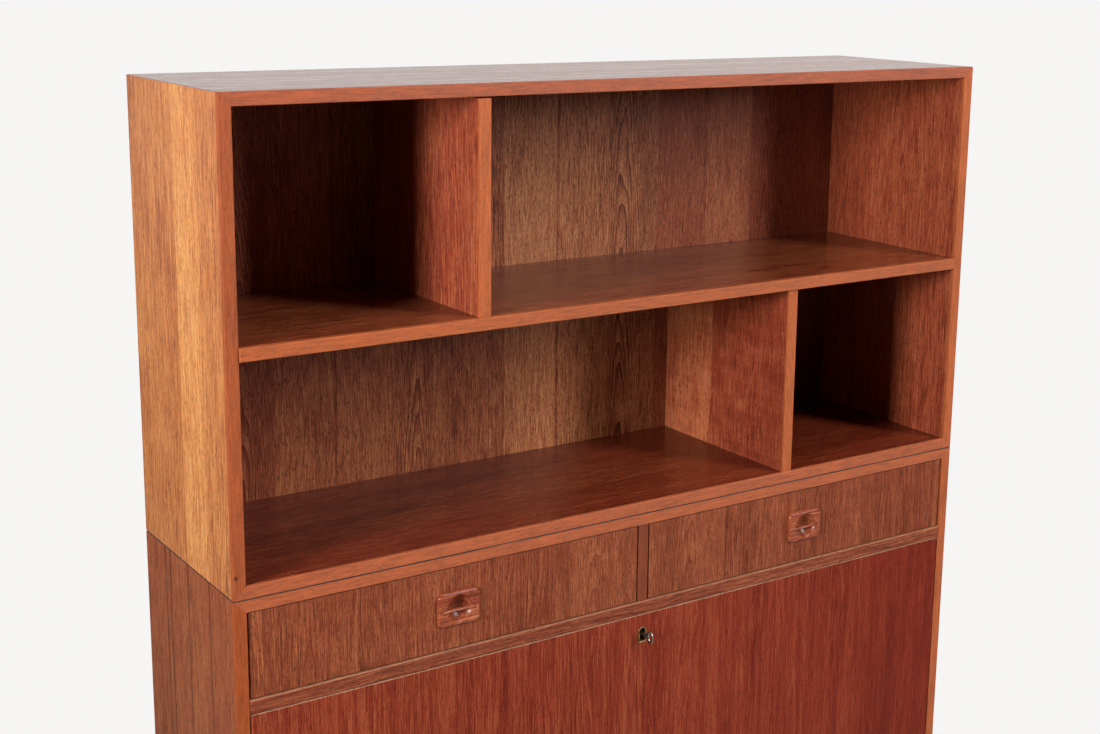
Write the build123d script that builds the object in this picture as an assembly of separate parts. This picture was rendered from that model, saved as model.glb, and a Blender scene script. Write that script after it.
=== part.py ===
from build123d import *
import math
import os

# Secretary desk in two stacked cases on a leg frame.
# Millimetres, +Z up, the front faces -Y, origin at the bottom centre of the whole object.

# Cases
CASE_WIDTH = 1160.0
CASE_DEPTH = 288.0
UPPER_HEIGHT = 580.0
LOWER_HEIGHT = 549.0
LEG_HEIGHT = 601.0
BOARD = 16.0
CORNER_ROUND = 1.8
EDGE_EASE = 1.0
BACK_THICK = 6.0
BACK_INSET = 1.0
BACK_REBATE = 8.0
BACK_EDGE_GAP = 0.5
SPLINE_WIDTH = 12.0
SPLINE_THICK = 3.0
SPLINE_FROM_INSIDE = 6.4
SPLINE_END_MARGIN = 15.0

# Bookcase
SHELF_DROP = 283.6
SHELF_THICK = 16.2
SHELF_PROUD = 2.6
DIVIDER_THICK = 16.0
UPPER_DIVIDER_X = -246.5
LOWER_DIVIDER_X = 250.2
UPPER_DIVIDER_SETBACK = 0.6
LOWER_DIVIDER_SETBACK = 1.4
UPPER_DIVIDER_TOP_GAP = 2.0

# Dowels and screws
DOWEL_RADIUS = 4.0
DOWEL_BITE = 10.0
DOWEL_DEPTH = 18.0
DOWEL_GLUE_GAP = 0.1
DOWEL_END_GAP = 0.5
DOWEL_INSET = 60.0
STACK_DOWEL_INSET = 120.0
SCREW_RADIUS = 1.6
SCREW_HEAD_RADIUS = 3.2
SCREW_HEAD_THICK = 1.6
SCREW_BITE = 14.0
SCREW_GAP = 0.1
BACK_SCREW_PITCH = 270.0
BACK_SCREW_END_MARGIN = 40.0

# Drawers
DRAWER_OPENING = 109.0
PARTITION_THICK = 16.0
PARTITION_SETBACK = 1.5
DRAWER_SETBACK = 2.0
DRAWER_SIDE_GAP = 2.0
DRAWER_TOP_GAP = 1.6
DRAWER_BOTTOM_GAP = 1.2
DRAWER_FRONT_THICK = 18.0
DRAWER_FRONT_EASE = 0.8
DRAWER_SIDE_THICK = 12.0
DRAWER_SIDE_HEIGHT = 86.0
DRAWER_SIDE_LIFT = 7.0
DRAWER_BACK_THICK = 10.0
DRAWER_BACK_HOUSING = 4.0
DRAWER_BACK_DROP = 6.0
DRAWER_BACK_TAIL = 12.0
DRAWER_BOTTOM_THICK = 4.0
DRAWER_BOTTOM_LIFT = 8.0
DRAWER_BOTTOM_BITE = 5.0
DRAWER_REAR_GAP = 8.0
DOVETAIL_LAP = 6.0
DOVETAIL_COUNT = 3
DOVETAIL_BASE = 14.0
DOVETAIL_FLARE = 2.0
RUNNER_TONGUE = 5.0
RUNNER_HEIGHT = 10.0
RUNNER_PLAY = 0.5
RUNNER_REAR_GAP = 12.0

# Pulls
PULL_WIDTH = 60.0
PULL_HEIGHT = 45.0
PULL_CORNER = 8.0
PULL_PROUD = 5.0
PULL_EASE = 3.4
PULL_BOSS_RADIUS = 19.6
PULL_BOSS_DEPTH = 11.0
PULL_BOSS_GAP = 0.2
SCOOP_RADIUS = 18.2
SCOOP_RIM_ROUND = 0.6
SCOOP_DEPTH = 11.0
BAR_LENGTH = 47.0
BAR_HEIGHT = 3.4
BAR_DEPTH = 3.8
BAR_SINK = 0.3
BAR_DROP = 2.2
BAR_EASE = 1.2
BAR_NOTCH_GAP = 0.15

# Rail, dust board and stop strip
RAIL_HEIGHT = 17.5
RAIL_DEPTH = 46.0
RAIL_PROUD = 0.6
RAIL_EASE = 1.5
RAIL_END_GAP = 0.4
RAIL_TENON_LENGTH = 8.0
RAIL_TENON_HEIGHT = 9.0
RAIL_TENON_DEPTH = 30.0
DUST_BOARD_THICK = 8.0
DUST_BOARD_LAP = 12.0
DUST_BOARD_HOUSING = 5.0
STOP_HEIGHT = 14.0
STOP_DEPTH = 12.0
STOP_LENGTH = 960.0
STOP_GAP = 0.3

# Fall front and its pivots
FLAP_THICK = 18.0
FLAP_SIDE_GAP = 1.5
FLAP_TOP_GAP = 1.2
FLAP_BOTTOM_GAP = 2.0
FLAP_EASE = 0.8
PIVOT_UP = 40.0
PIVOT_BACK = 6.0
PIVOT_RADIUS = 3.0
PIVOT_FIT = 0.06
PIVOT_FLANGE_WIDTH = 9.0
PIVOT_FLANGE_HEIGHT = 30.0
PIVOT_FLANGE_THICK = 2.0
PIVOT_PIN_IN = 14.0
PIVOT_PIN_OUT = 9.0
PIVOT_END_GAP = 1.0
PIVOT_PLATE_WIDTH = 14.0
PIVOT_PLATE_HEIGHT = 42.0
PIVOT_PLATE_THICK = 2.0
PIVOT_PLATE_FRONT_GAP = 1.5

# Desk floor and pigeonholes
FLOOR_THICK = 12.0
FLOOR_FRONT_GAP = 1.0
FLOOR_STOP_GAP = 0.4
CLEAT_HEIGHT = 18.0
CLEAT_WIDTH = 16.0
CLEAT_CLEARANCE = 6.0
PIGEON_DEPTH = 130.0
PIGEON_RISE = 150.0
PIGEON_THICK = 10.0
PIGEON_HOUSING = 5.0
PIGEON_DIVIDER_SETBACK = 4.0
PIGEON_DIVIDER_GROOVE = 3.0
PIGEON_DIVIDER_COUNT = 3

# Lock
KEY_DROP = 27.5
LOCK_WIDTH = 44.0
LOCK_HEIGHT = 44.0
LOCK_DEPTH = 11.0
LOCK_WALL = 1.5
SELVEDGE_WIDTH = 66.0
SELVEDGE_THICK = 2.0
BOLT_WIDTH = 18.0
BOLT_THICK = 4.0
BOLT_LENGTH = 22.0
BOLT_THROW = 7.0
BOLT_FIT = 0.3
BOLT_REAR_GAP = 0.4
BOLT_TOP_SINK = 0.2
STRIKE_WIDTH = 60.0
STRIKE_DEPTH = 11.0
STRIKE_THICK = 1.5
STRIKE_HEADROOM = 2.0
LOCK_SCREW_INSET = 5.5
LOCK_SCREW_RADIUS = 1.3
LOCK_SCREW_HEAD_RADIUS = 2.4
LOCK_SCREW_HEAD_THICK = 1.0
LOCK_SCREW_LENGTH = 10.0
ESCUTCHEON_WIDTH = 12.8
ESCUTCHEON_ABOVE_KEY = 9.6
ESCUTCHEON_BELOW_KEY = 12.9
ESCUTCHEON_THICK = 3.0
ESCUTCHEON_PROUD = 0.8
ESCUTCHEON_FOOT_ROUND = 2.0
ESCUTCHEON_RIM = 1.8
ESCUTCHEON_EASE = 0.3
KEYHOLE_RADIUS = 3.6
KEYHOLE_SLOT = 3.8
KEYHOLE_DROP = 10.2

# Key
KEY_SHANK_RADIUS = 2.3
KEY_COLLAR_RADIUS = 3.4
KEY_COLLAR_LENGTH = 2.5
KEY_BIT_REACH = 8.6
KEY_BIT_THICK = 2.0
KEY_BIT_LENGTH = 2.8
KEY_BIT_GAP = 0.4
BOW_CENTRE = 17.9
BOW_LENGTH = 12.4
BOW_HEIGHT = 18.2
BOW_RIM = 2.8
BOW_THICK = 2.4
BOW_EASE = 0.6

# Leg frame
LEG_BLOCK = 40.0
LEG_BLOCK_HEIGHT = 72.0
LEG_SIDE_INSET = 36.0
LEG_FRONT_INSET = 12.0
LEG_TOP_RADIUS = 19.0
LEG_FOOT_RADIUS = 11.0
LEG_EASE = 1.5
GLIDE_RADIUS = 9.0
GLIDE_THICK = 3.0
APRON_HEIGHT = 58.0
APRON_THICK = 20.0
APRON_SETBACK = 4.0
APRON_EASE = 1.0
APRON_TENON = 12.0
APRON_TENON_HEIGHT = 38.0
APRON_TENON_THICK = 9.0
APRON_SCREW_RADIUS = 2.5
APRON_SCREW_HEAD_RADIUS = 4.5
APRON_SCREW_HEAD_THICK = 3.0
APRON_SCREW_SINK = 20.0
APRON_SCREW_BITE = 10.0
APRON_SCREW_GAP = 0.15
APRON_SCREW_INSET = 184.0

# Limits worked out from the sizes above
KEY_REACH = BOW_CENTRE + BOW_LENGTH / 2
Y_FRONT = (KEY_REACH - CASE_DEPTH) / 2
Y_BACK = Y_FRONT + CASE_DEPTH
Y_PANEL = Y_BACK - BACK_INSET - BACK_THICK
X_OUTER = CASE_WIDTH / 2
X_INNER = X_OUTER - BOARD
Z_LOWER = LEG_HEIGHT
Z_JOINT = Z_LOWER + LOWER_HEIGHT
Z_TOP = Z_JOINT + UPPER_HEIGHT
Z_SHELF_TOP = Z_TOP - SHELF_DROP
Z_SHELF_BOTTOM = Z_SHELF_TOP - SHELF_THICK
Z_OPENING_TOP = Z_JOINT - BOARD
Z_RAIL_TOP = Z_OPENING_TOP - DRAWER_OPENING
Z_RAIL_BOTTOM = Z_RAIL_TOP - RAIL_HEIGHT
Y_FLAP_BACK = Y_FRONT + FLAP_THICK
X_FLAP = X_INNER - FLAP_SIDE_GAP
Z_FLAP_TOP = Z_RAIL_BOTTOM - FLAP_TOP_GAP
Z_FLAP_BOTTOM = Z_LOWER + BOARD + FLAP_BOTTOM_GAP
Y_PIVOT = Y_FRONT + PIVOT_BACK
Z_PIVOT = Z_FLAP_BOTTOM + PIVOT_UP
TAIL_RISE = FLAP_THICK - PIVOT_BACK
TAIL_REACH = math.hypot(PIVOT_UP, TAIL_RISE)
Z_FLOOR = Z_PIVOT + TAIL_RISE + FLOOR_STOP_GAP
Z_FLOOR_TOP = Z_FLOOR + FLOOR_THICK
Z_KEY = Z_FLAP_TOP - KEY_DROP
Y_LOCK = Y_FLAP_BACK - LOCK_DEPTH
Y_DRAWER = Y_FRONT + DRAWER_SETBACK
Y_DRAWER_BOX = Y_DRAWER + DRAWER_FRONT_THICK
Y_DRAWER_END = Y_PANEL - DRAWER_REAR_GAP
Z_DRAWER_BOTTOM = Z_RAIL_TOP + DRAWER_BOTTOM_GAP
Z_DRAWER_TOP = Z_OPENING_TOP - DRAWER_TOP_GAP
Z_DRAWER_SIDE = Z_DRAWER_BOTTOM + DRAWER_SIDE_LIFT
Z_RUNNER = Z_DRAWER_SIDE + DRAWER_SIDE_HEIGHT / 2
RUNNER_WIDTH = DRAWER_SIDE_GAP + RUNNER_TONGUE

SIDES = {"left": -1, "right": 1}
ENDS = {"front": -1, "back": 1}

nodes = {}


def block(x_limits, y_limits, z_limits):
    """Return a rectangular board between pairs of limits, given in any order."""
    limits = (x_limits, y_limits, z_limits)
    centre = [sum(pair) / 2 for pair in limits]
    size = [abs(pair[1] - pair[0]) for pair in limits]
    return Pos(*centre) * Box(*size)


def rod(radius, start, end):
    """Return a round rod of the given radius from one point to another."""
    way = Vector(*end) - Vector(*start)
    base = Plane(origin=start, z_dir=way)
    return base * Cylinder(radius, way.length, align=(Align.CENTER, Align.CENTER, Align.MIN))


def front_plane(y):
    """Return a plane at y that looks to the front, with local x along X and local y along Z."""
    return Plane(origin=(0, y, 0), x_dir=(1, 0, 0), z_dir=(0, -1, 0))


def prism(points, y_limits):
    """Return a prism along Y over a closed outline of (x, z) points."""
    near, far = y_limits
    outline = front_plane(far) * Polygon(*points, align=None)
    return extrude(outline, amount=far - near, dir=(0, -1, 0))


def edges_at(shape, axis, place):
    """Return the edges that lie at one place along an axis."""
    reach = 0.01
    return shape.edges().filter_by_position(axis, place - reach, place + reach)


def group(solids):
    """Return separate solids as one node."""
    return Compound(children=list(solids))


def mitre_splines(z_bottom, z_top):
    """Return the four strips that lock the mitres of a case, left and right at top and bottom."""
    strips = []
    length = Y_PANEL - Y_FRONT - 2 * SPLINE_END_MARGIN
    middle = (Y_PANEL + Y_FRONT) / 2
    for x_sign in SIDES.values():
        for z_inner, z_sign in ((z_bottom + BOARD, -1), (z_top - BOARD, 1)):
            place = Pos(
                x_sign * (X_INNER + SPLINE_FROM_INSIDE),
                middle,
                z_inner + z_sign * SPLINE_FROM_INSIDE,
            )
            turn = Rotation(0, 45 * x_sign * z_sign, 0)
            strips.append(place * turn * Box(SPLINE_WIDTH, length, SPLINE_THICK))
    return strips


def case_boards(z_bottom, z_top):
    """Return the four mitred boards of a case, rebated for the back panel.

    The case is made whole with its eased front, then cut along the mitres.
    """
    middle = (z_bottom + z_top) / 2
    face = Plane(origin=(0, Y_BACK, middle), x_dir=(1, 0, 0), z_dir=(0, -1, 0))
    outline = face * RectangleRounded(CASE_WIDTH, z_top - z_bottom, CORNER_ROUND)
    whole = extrude(outline, amount=CASE_DEPTH)
    hollow = (-X_INNER, X_INNER), (Y_FRONT - BOARD, Y_BACK + BOARD), (z_bottom + BOARD, z_top - BOARD)
    whole -= block(*hollow)
    whole = fillet(edges_at(whole, Axis.Y, Y_FRONT), EDGE_EASE)
    whole -= block(
        (-X_INNER - BACK_REBATE, X_INNER + BACK_REBATE),
        (Y_PANEL, Y_BACK + BOARD),
        (z_bottom + BOARD - BACK_REBATE, z_top - BOARD + BACK_REBATE),
    )
    whole -= mitre_splines(z_bottom, z_top)
    far = BOARD
    near = 2 * BOARD
    depth = (Y_FRONT - BOARD, Y_BACK + BOARD)
    corner = {}
    for x_sign in (-1, 1):
        for z_edge, z_sign in ((z_bottom, -1), (z_top, 1)):
            outer = (x_sign * (X_OUTER + far), z_edge + z_sign * far)
            inner = (x_sign * (X_OUTER - near), z_edge - z_sign * near)
            corner[x_sign, z_sign] = (outer, inner)
    wedges = {
        "top": ((-1, 1), (1, 1)),
        "bottom": ((-1, -1), (1, -1)),
        "left_side": ((-1, -1), (-1, 1)),
        "right_side": ((1, -1), (1, 1)),
    }
    boards = {}
    for name, (first, second) in wedges.items():
        points = (corner[first][0], corner[second][0], corner[second][1], corner[first][1])
        boards[name] = whole & prism(points, depth)
    return boards


def back_panel(z_bottom, z_top):
    """Return a back panel that lies in the rebates of a case."""
    spread = BACK_REBATE - BACK_EDGE_GAP
    return block(
        (-X_INNER - spread, X_INNER + spread),
        (Y_PANEL, Y_PANEL + BACK_THICK),
        (z_bottom + BOARD - spread, z_top - BOARD + spread),
    )


def spread_evenly(low, high, pitch):
    """Return places from low to high, evenly spaced about a pitch apart."""
    steps = max(1, round((high - low) / pitch))
    return [low + (high - low) * index / steps for index in range(steps + 1)]


def back_screw_places(z_bottom, z_top):
    """Return the (x, z) places of the screws round a back panel."""
    inset = BACK_REBATE / 2
    x_line = X_INNER + inset
    z_low = z_bottom + BOARD - inset
    z_high = z_top - BOARD + inset
    places = []
    across = spread_evenly(-x_line + BACK_SCREW_END_MARGIN, x_line - BACK_SCREW_END_MARGIN, BACK_SCREW_PITCH)
    for x in across:
        places += [(x, z_low), (x, z_high)]
    for z in spread_evenly(z_low + BACK_SCREW_END_MARGIN, z_high - BACK_SCREW_END_MARGIN, BACK_SCREW_PITCH):
        places += [(-x_line, z), (x_line, z)]
    return places


def back_screw(x, z, gap):
    """Return one screw of a back panel, or with a gap the hole that it goes in."""
    y_head = Y_PANEL + BACK_THICK
    y_neck = y_head - SCREW_HEAD_THICK
    head = rod(SCREW_HEAD_RADIUS + gap, (x, y_neck, z), (x, y_head, z))
    shank = rod(SCREW_RADIUS + gap, (x, Y_PANEL - SCREW_BITE - gap, z), (x, y_neck, z))
    return head + shank


def make_case(name, z_bottom, z_top):
    """Add one case: four boards, splines and back panel, drilled for the back screws."""
    boards = case_boards(z_bottom, z_top)
    panel = back_panel(z_bottom, z_top)
    places = back_screw_places(z_bottom, z_top)
    holes = [back_screw(x, z, SCREW_GAP) for x, z in places]
    for part, board in boards.items():
        nodes[f"{name}_{part}"] = board - holes
    nodes[f"{name}_back"] = panel - holes
    nodes[f"{name}_splines"] = group(mitre_splines(z_bottom, z_top))
    return [back_screw(x, z, 0) for x, z in places]


def pin_joint(start, end, first, second):
    """Drill two nodes for a glued dowel between two points and return the dowel."""
    way = (Vector(*end) - Vector(*start)).normalized()
    room = way * DOWEL_END_GAP
    hole = rod(DOWEL_RADIUS + DOWEL_GLUE_GAP, Vector(*start) - room, Vector(*end) + room)
    nodes[first] -= hole
    nodes[second] -= hole
    return rod(DOWEL_RADIUS, start, end)


def dowel_depths(inset):
    """Return the two places along Y where a row of dowels sits."""
    return Y_FRONT + inset, Y_PANEL - inset


def make_bookcase_inside():
    """Add the shelf, the two dividers and their dowels."""
    shelf_limits = (-X_INNER, X_INNER), (Y_FRONT - SHELF_PROUD, Y_PANEL), (Z_SHELF_BOTTOM, Z_SHELF_TOP)
    shelf = block(*shelf_limits)
    nodes["bookcase_shelf"] = fillet(edges_at(shelf, Axis.Y, Y_FRONT - SHELF_PROUD), EDGE_EASE)
    half = DIVIDER_THICK / 2
    dividers = {
        "upper_divider": (
            UPPER_DIVIDER_X,
            Y_FRONT + UPPER_DIVIDER_SETBACK,
            (Z_SHELF_TOP, Z_TOP - BOARD - UPPER_DIVIDER_TOP_GAP),
        ),
        "lower_divider": (
            LOWER_DIVIDER_X,
            Y_FRONT + LOWER_DIVIDER_SETBACK,
            (Z_JOINT + BOARD, Z_SHELF_BOTTOM),
        ),
    }
    for name, (x, y_face, z_limits) in dividers.items():
        board = block((x - half, x + half), (y_face, Y_PANEL), z_limits)
        nodes[name] = fillet(edges_at(board, Axis.Y, y_face).filter_by(Axis.Z), EDGE_EASE)
    dowels = []
    z_shelf = (Z_SHELF_TOP + Z_SHELF_BOTTOM) / 2
    for y in dowel_depths(DOWEL_INSET):
        for side, x_sign in SIDES.items():
            start = (x_sign * (X_INNER - DOWEL_DEPTH), y, z_shelf)
            end = (x_sign * (X_INNER + DOWEL_BITE), y, z_shelf)
            dowels.append(pin_joint(start, end, "bookcase_shelf", f"upper_{side}_side"))
        seats = (
            (UPPER_DIVIDER_X, Z_SHELF_TOP, 1, "bookcase_shelf", "upper_divider"),
            (LOWER_DIVIDER_X, Z_JOINT + BOARD, 1, "upper_bottom", "lower_divider"),
            (LOWER_DIVIDER_X, Z_SHELF_BOTTOM, -1, "bookcase_shelf", "lower_divider"),
        )
        for x, z, way, first, second in seats:
            start = (x, y, z - way * DOWEL_BITE)
            end = (x, y, z + way * DOWEL_DEPTH)
            dowels.append(pin_joint(start, end, first, second))
    nodes["bookcase_dowels"] = group(dowels)


def make_stack_dowels():
    """Add the loose dowels that hold the bookcase in place on the lower case."""
    dowels = []
    for y in dowel_depths(DOWEL_INSET):
        for x_sign in SIDES.values():
            x = x_sign * (X_OUTER - STACK_DOWEL_INSET)
            start = (x, y, Z_JOINT - DOWEL_BITE)
            end = (x, y, Z_JOINT + DOWEL_BITE)
            dowels.append(pin_joint(start, end, "lower_top", "upper_bottom"))
    nodes["stack_dowels"] = group(dowels)


def make_rail():
    """Add the rail under the drawers, the dust board behind it and the partition above it."""
    y_face = Y_FRONT - RAIL_PROUD
    y_rear = Y_FRONT + RAIL_DEPTH
    x_end = X_INNER - RAIL_END_GAP
    rail = block((-x_end, x_end), (y_face, y_rear), (Z_RAIL_BOTTOM, Z_RAIL_TOP))
    rail = fillet(edges_at(rail, Axis.Y, y_face), RAIL_EASE)
    z_middle = (Z_RAIL_BOTTOM + Z_RAIL_TOP) / 2
    y_middle = (Y_FRONT + y_rear) / 2
    half_height = RAIL_TENON_HEIGHT / 2
    half_depth = RAIL_TENON_DEPTH / 2
    for side, x_sign in SIDES.items():
        tenon = block(
            (x_sign * x_end, x_sign * (X_INNER + RAIL_TENON_LENGTH)),
            (y_middle - half_depth, y_middle + half_depth),
            (z_middle - half_height, z_middle + half_height),
        )
        rail += tenon
        nodes[f"lower_{side}_side"] -= tenon
    dust_board = block(
        (-X_INNER - DUST_BOARD_HOUSING, X_INNER + DUST_BOARD_HOUSING),
        (y_rear - DUST_BOARD_LAP, Y_PANEL),
        (Z_RAIL_TOP - DUST_BOARD_THICK, Z_RAIL_TOP),
    )
    for side in SIDES:
        nodes[f"lower_{side}_side"] -= dust_board
    half = PARTITION_THICK / 2
    y_partition = Y_FRONT + PARTITION_SETBACK
    partition = block((-half, half), (y_partition, Y_PANEL), (Z_RAIL_TOP, Z_OPENING_TOP))
    front_edges = edges_at(partition, Axis.Y, y_partition).filter_by(Axis.Z)
    nodes["drawer_rail"] = rail - dust_board
    nodes["dust_board"] = dust_board
    nodes["drawer_partition"] = fillet(front_edges, EDGE_EASE)
    nodes["flap_stop"] = block(
        (-STOP_LENGTH / 2, STOP_LENGTH / 2),
        (Y_FLAP_BACK + STOP_GAP, Y_FLAP_BACK + STOP_GAP + STOP_DEPTH),
        (Z_RAIL_BOTTOM - STOP_HEIGHT, Z_RAIL_BOTTOM),
    )


def make_runners():
    """Add the strips on the case sides and the partition that the drawers run on."""
    half = PARTITION_THICK / 2
    y_limits = (Y_DRAWER_BOX + RUNNER_PLAY, Y_PANEL - RUNNER_REAR_GAP)
    z_limits = (Z_RUNNER - RUNNER_HEIGHT / 2, Z_RUNNER + RUNNER_HEIGHT / 2)
    strips = []
    for x_sign in SIDES.values():
        for x_wall, way in ((X_INNER, -1), (half, 1)):
            strips.append(block((x_sign * x_wall, x_sign * (x_wall + way * RUNNER_WIDTH)), y_limits, z_limits))
    nodes["drawer_runners"] = group(strips)


def drawer_side(x_outer, way):
    """Return one drawer side with its dovetails and its runner groove; way points into the drawer."""
    x_limits = (x_outer, x_outer + way * DRAWER_SIDE_THICK)
    z_limits = (Z_DRAWER_SIDE, Z_DRAWER_SIDE + DRAWER_SIDE_HEIGHT)
    board = block(x_limits, (Y_DRAWER_BOX, Y_DRAWER_END), z_limits)
    y_tip = Y_DRAWER + DOVETAIL_LAP
    pitch = DRAWER_SIDE_HEIGHT / DOVETAIL_COUNT
    base = DOVETAIL_BASE / 2
    tip = base + DOVETAIL_FLARE
    face = Plane(origin=(min(x_limits), 0, 0), x_dir=(0, 1, 0), z_dir=(1, 0, 0))
    for index in range(DOVETAIL_COUNT):
        z = Z_DRAWER_SIDE + pitch * (index + 0.5)
        outline = ((Y_DRAWER_BOX, z - base), (y_tip, z - tip), (y_tip, z + tip), (Y_DRAWER_BOX, z + base))
        board += extrude(face * Polygon(*outline, align=None), amount=DRAWER_SIDE_THICK, dir=(1, 0, 0))
    reach = RUNNER_HEIGHT / 2 + RUNNER_PLAY
    board -= block(
        (x_outer - way * RUNNER_PLAY, x_outer + way * (RUNNER_TONGUE + RUNNER_PLAY)),
        (Y_DRAWER_BOX, Y_DRAWER_END + RUNNER_PLAY),
        (Z_RUNNER - reach, Z_RUNNER + reach),
    )
    return board


def make_pull(name, x, z):
    """Add a pull plate with its boss and scoop, and its cross bar; return the bore for the boss."""
    y_face = Y_DRAWER - PULL_PROUD
    outline = front_plane(Y_DRAWER) * Pos(x, z) * RectangleRounded(PULL_WIDTH, PULL_HEIGHT, PULL_CORNER)
    plate = extrude(outline, amount=PULL_PROUD)
    plate = fillet(edges_at(plate, Axis.Y, y_face), PULL_EASE)
    plate += rod(PULL_BOSS_RADIUS, (x, Y_DRAWER, z), (x, Y_DRAWER + PULL_BOSS_DEPTH, z))
    ball = (SCOOP_RADIUS ** 2 + SCOOP_DEPTH ** 2) / (2 * SCOOP_DEPTH)
    plate -= Pos(x, y_face + SCOOP_DEPTH - ball, z) * Sphere(ball)
    rim = edges_at(plate, Axis.Y, y_face).filter_by(GeomType.CIRCLE).sort_by(SortBy.RADIUS)[-1]
    plate = fillet(rim, SCOOP_RIM_ROUND)
    z_bar = z - BAR_DROP
    half_length = BAR_LENGTH / 2
    half_height = BAR_HEIGHT / 2
    y_bar = y_face + BAR_SINK
    plate -= block(
        (x - half_length - BAR_NOTCH_GAP, x + half_length + BAR_NOTCH_GAP),
        (y_face - PULL_PROUD, y_bar + BAR_DEPTH),
        (z_bar - half_height - BAR_NOTCH_GAP, z_bar + half_height + BAR_NOTCH_GAP),
    )
    bar = block(
        (x - half_length, x + half_length),
        (y_bar, y_bar + BAR_DEPTH),
        (z_bar - half_height, z_bar + half_height),
    )
    nodes[f"{name}_pull_plate"] = plate
    nodes[f"{name}_pull_bar"] = fillet(edges_at(bar, Axis.Y, y_bar), BAR_EASE)
    bore_end = Y_DRAWER + PULL_BOSS_DEPTH + PULL_BOSS_GAP
    return rod(PULL_BOSS_RADIUS + PULL_BOSS_GAP, (x, Y_DRAWER, z), (x, bore_end, z))


def make_drawer(name, x_low, x_high):
    """Add one drawer that fills the opening between two limits along X."""
    x_left = x_low + DRAWER_SIDE_GAP
    x_right = x_high - DRAWER_SIDE_GAP
    front = block((x_left, x_right), (Y_DRAWER, Y_DRAWER_BOX), (Z_DRAWER_BOTTOM, Z_DRAWER_TOP))
    front = fillet(edges_at(front, Axis.Y, Y_DRAWER), DRAWER_FRONT_EASE)
    sides = {"left": drawer_side(x_left, 1), "right": drawer_side(x_right, -1)}
    inner = DRAWER_SIDE_THICK
    z_bottom = Z_DRAWER_SIDE + DRAWER_BOTTOM_LIFT
    z_bottom_top = z_bottom + DRAWER_BOTTOM_THICK
    bottom = block(
        (x_left + inner - DRAWER_BOTTOM_BITE, x_right - inner + DRAWER_BOTTOM_BITE),
        (Y_DRAWER_BOX - DRAWER_BOTTOM_BITE, Y_DRAWER_END),
        (z_bottom, z_bottom_top),
    )
    y_back = Y_DRAWER_END - DRAWER_BACK_TAIL
    back = block(
        (x_left + inner - DRAWER_BACK_HOUSING, x_right - inner + DRAWER_BACK_HOUSING),
        (y_back - DRAWER_BACK_THICK, y_back),
        (z_bottom_top, Z_DRAWER_SIDE + DRAWER_SIDE_HEIGHT - DRAWER_BACK_DROP),
    )
    bore = make_pull(name, (x_low + x_high) / 2, (Z_DRAWER_BOTTOM + Z_DRAWER_TOP) / 2)
    front -= bottom
    front -= bore
    for side, board in sides.items():
        front -= board
        nodes[f"{name}_drawer_{side}_side"] = board - bottom - back
    nodes[f"{name}_drawer_front"] = front
    nodes[f"{name}_drawer_back"] = back
    nodes[f"{name}_drawer_bottom"] = bottom


def keyhole(y_limits):
    """Return a keyhole along Y: a round hole at the key's axis with a slot under it."""
    near, far = y_limits
    hole = rod(KEYHOLE_RADIUS, (0, near, Z_KEY), (0, far, Z_KEY))
    half = KEYHOLE_SLOT / 2
    return hole + block((-half, half), y_limits, (Z_KEY - KEYHOLE_DROP, Z_KEY))


def escutcheon_block(y_limits, inset):
    """Return the escutcheon's outline along Y, round at its top, drawn in all round by an inset."""
    near, far = y_limits
    half = ESCUTCHEON_WIDTH / 2 - inset
    z_round = Z_KEY + ESCUTCHEON_ABOVE_KEY - ESCUTCHEON_WIDTH / 2
    z_foot = Z_KEY - ESCUTCHEON_BELOW_KEY + inset
    return block((-half, half), y_limits, (z_foot, z_round)) + rod(half, (0, near, z_round), (0, far, z_round))


def make_escutcheon():
    """Add the escutcheon, a rim round the keyhole; return the recess that it sits in."""
    half = ESCUTCHEON_WIDTH / 2
    z_foot = Z_KEY - ESCUTCHEON_BELOW_KEY
    y_face = Y_FRONT - ESCUTCHEON_PROUD
    y_seat = y_face + ESCUTCHEON_THICK
    body = escutcheon_block((y_face, y_seat), 0)
    feet = edges_at(body, Axis.Z, z_foot).filter_by(Axis.Y)
    body = fillet(feet, ESCUTCHEON_FOOT_ROUND)
    recess = body & block((-half, half), (Y_FRONT, y_seat), (z_foot, Z_KEY + ESCUTCHEON_ABOVE_KEY))
    body -= escutcheon_block((y_face - ESCUTCHEON_THICK, y_seat + ESCUTCHEON_THICK), ESCUTCHEON_RIM)
    nodes["lock_escutcheon"] = fillet(edges_at(body, Axis.Y, y_face), ESCUTCHEON_EASE)
    return recess


def bolt_block(fit, top_room):
    """Return the lock bolt, or with a fit and room at its top the space that it slides in."""
    half = BOLT_WIDTH / 2 + fit
    y_rear = Y_FLAP_BACK - LOCK_WALL - BOLT_REAR_GAP
    z_top = Z_FLAP_TOP - BOLT_TOP_SINK
    return block(
        (-half, half),
        (y_rear - BOLT_THICK - fit, y_rear + fit),
        (z_top - BOLT_LENGTH, z_top + top_room),
    )


def lock_screw(x, y, z, way, gap):
    """Return a small screw along Z with its head at z, or with a gap the hole for it."""
    neck = z - way * LOCK_SCREW_HEAD_THICK
    head = rod(LOCK_SCREW_HEAD_RADIUS + gap, (x, y, neck), (x, y, z))
    end = z - way * (LOCK_SCREW_LENGTH + gap)
    return head + rod(LOCK_SCREW_RADIUS + gap, (x, y, end), (x, y, neck))


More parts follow.
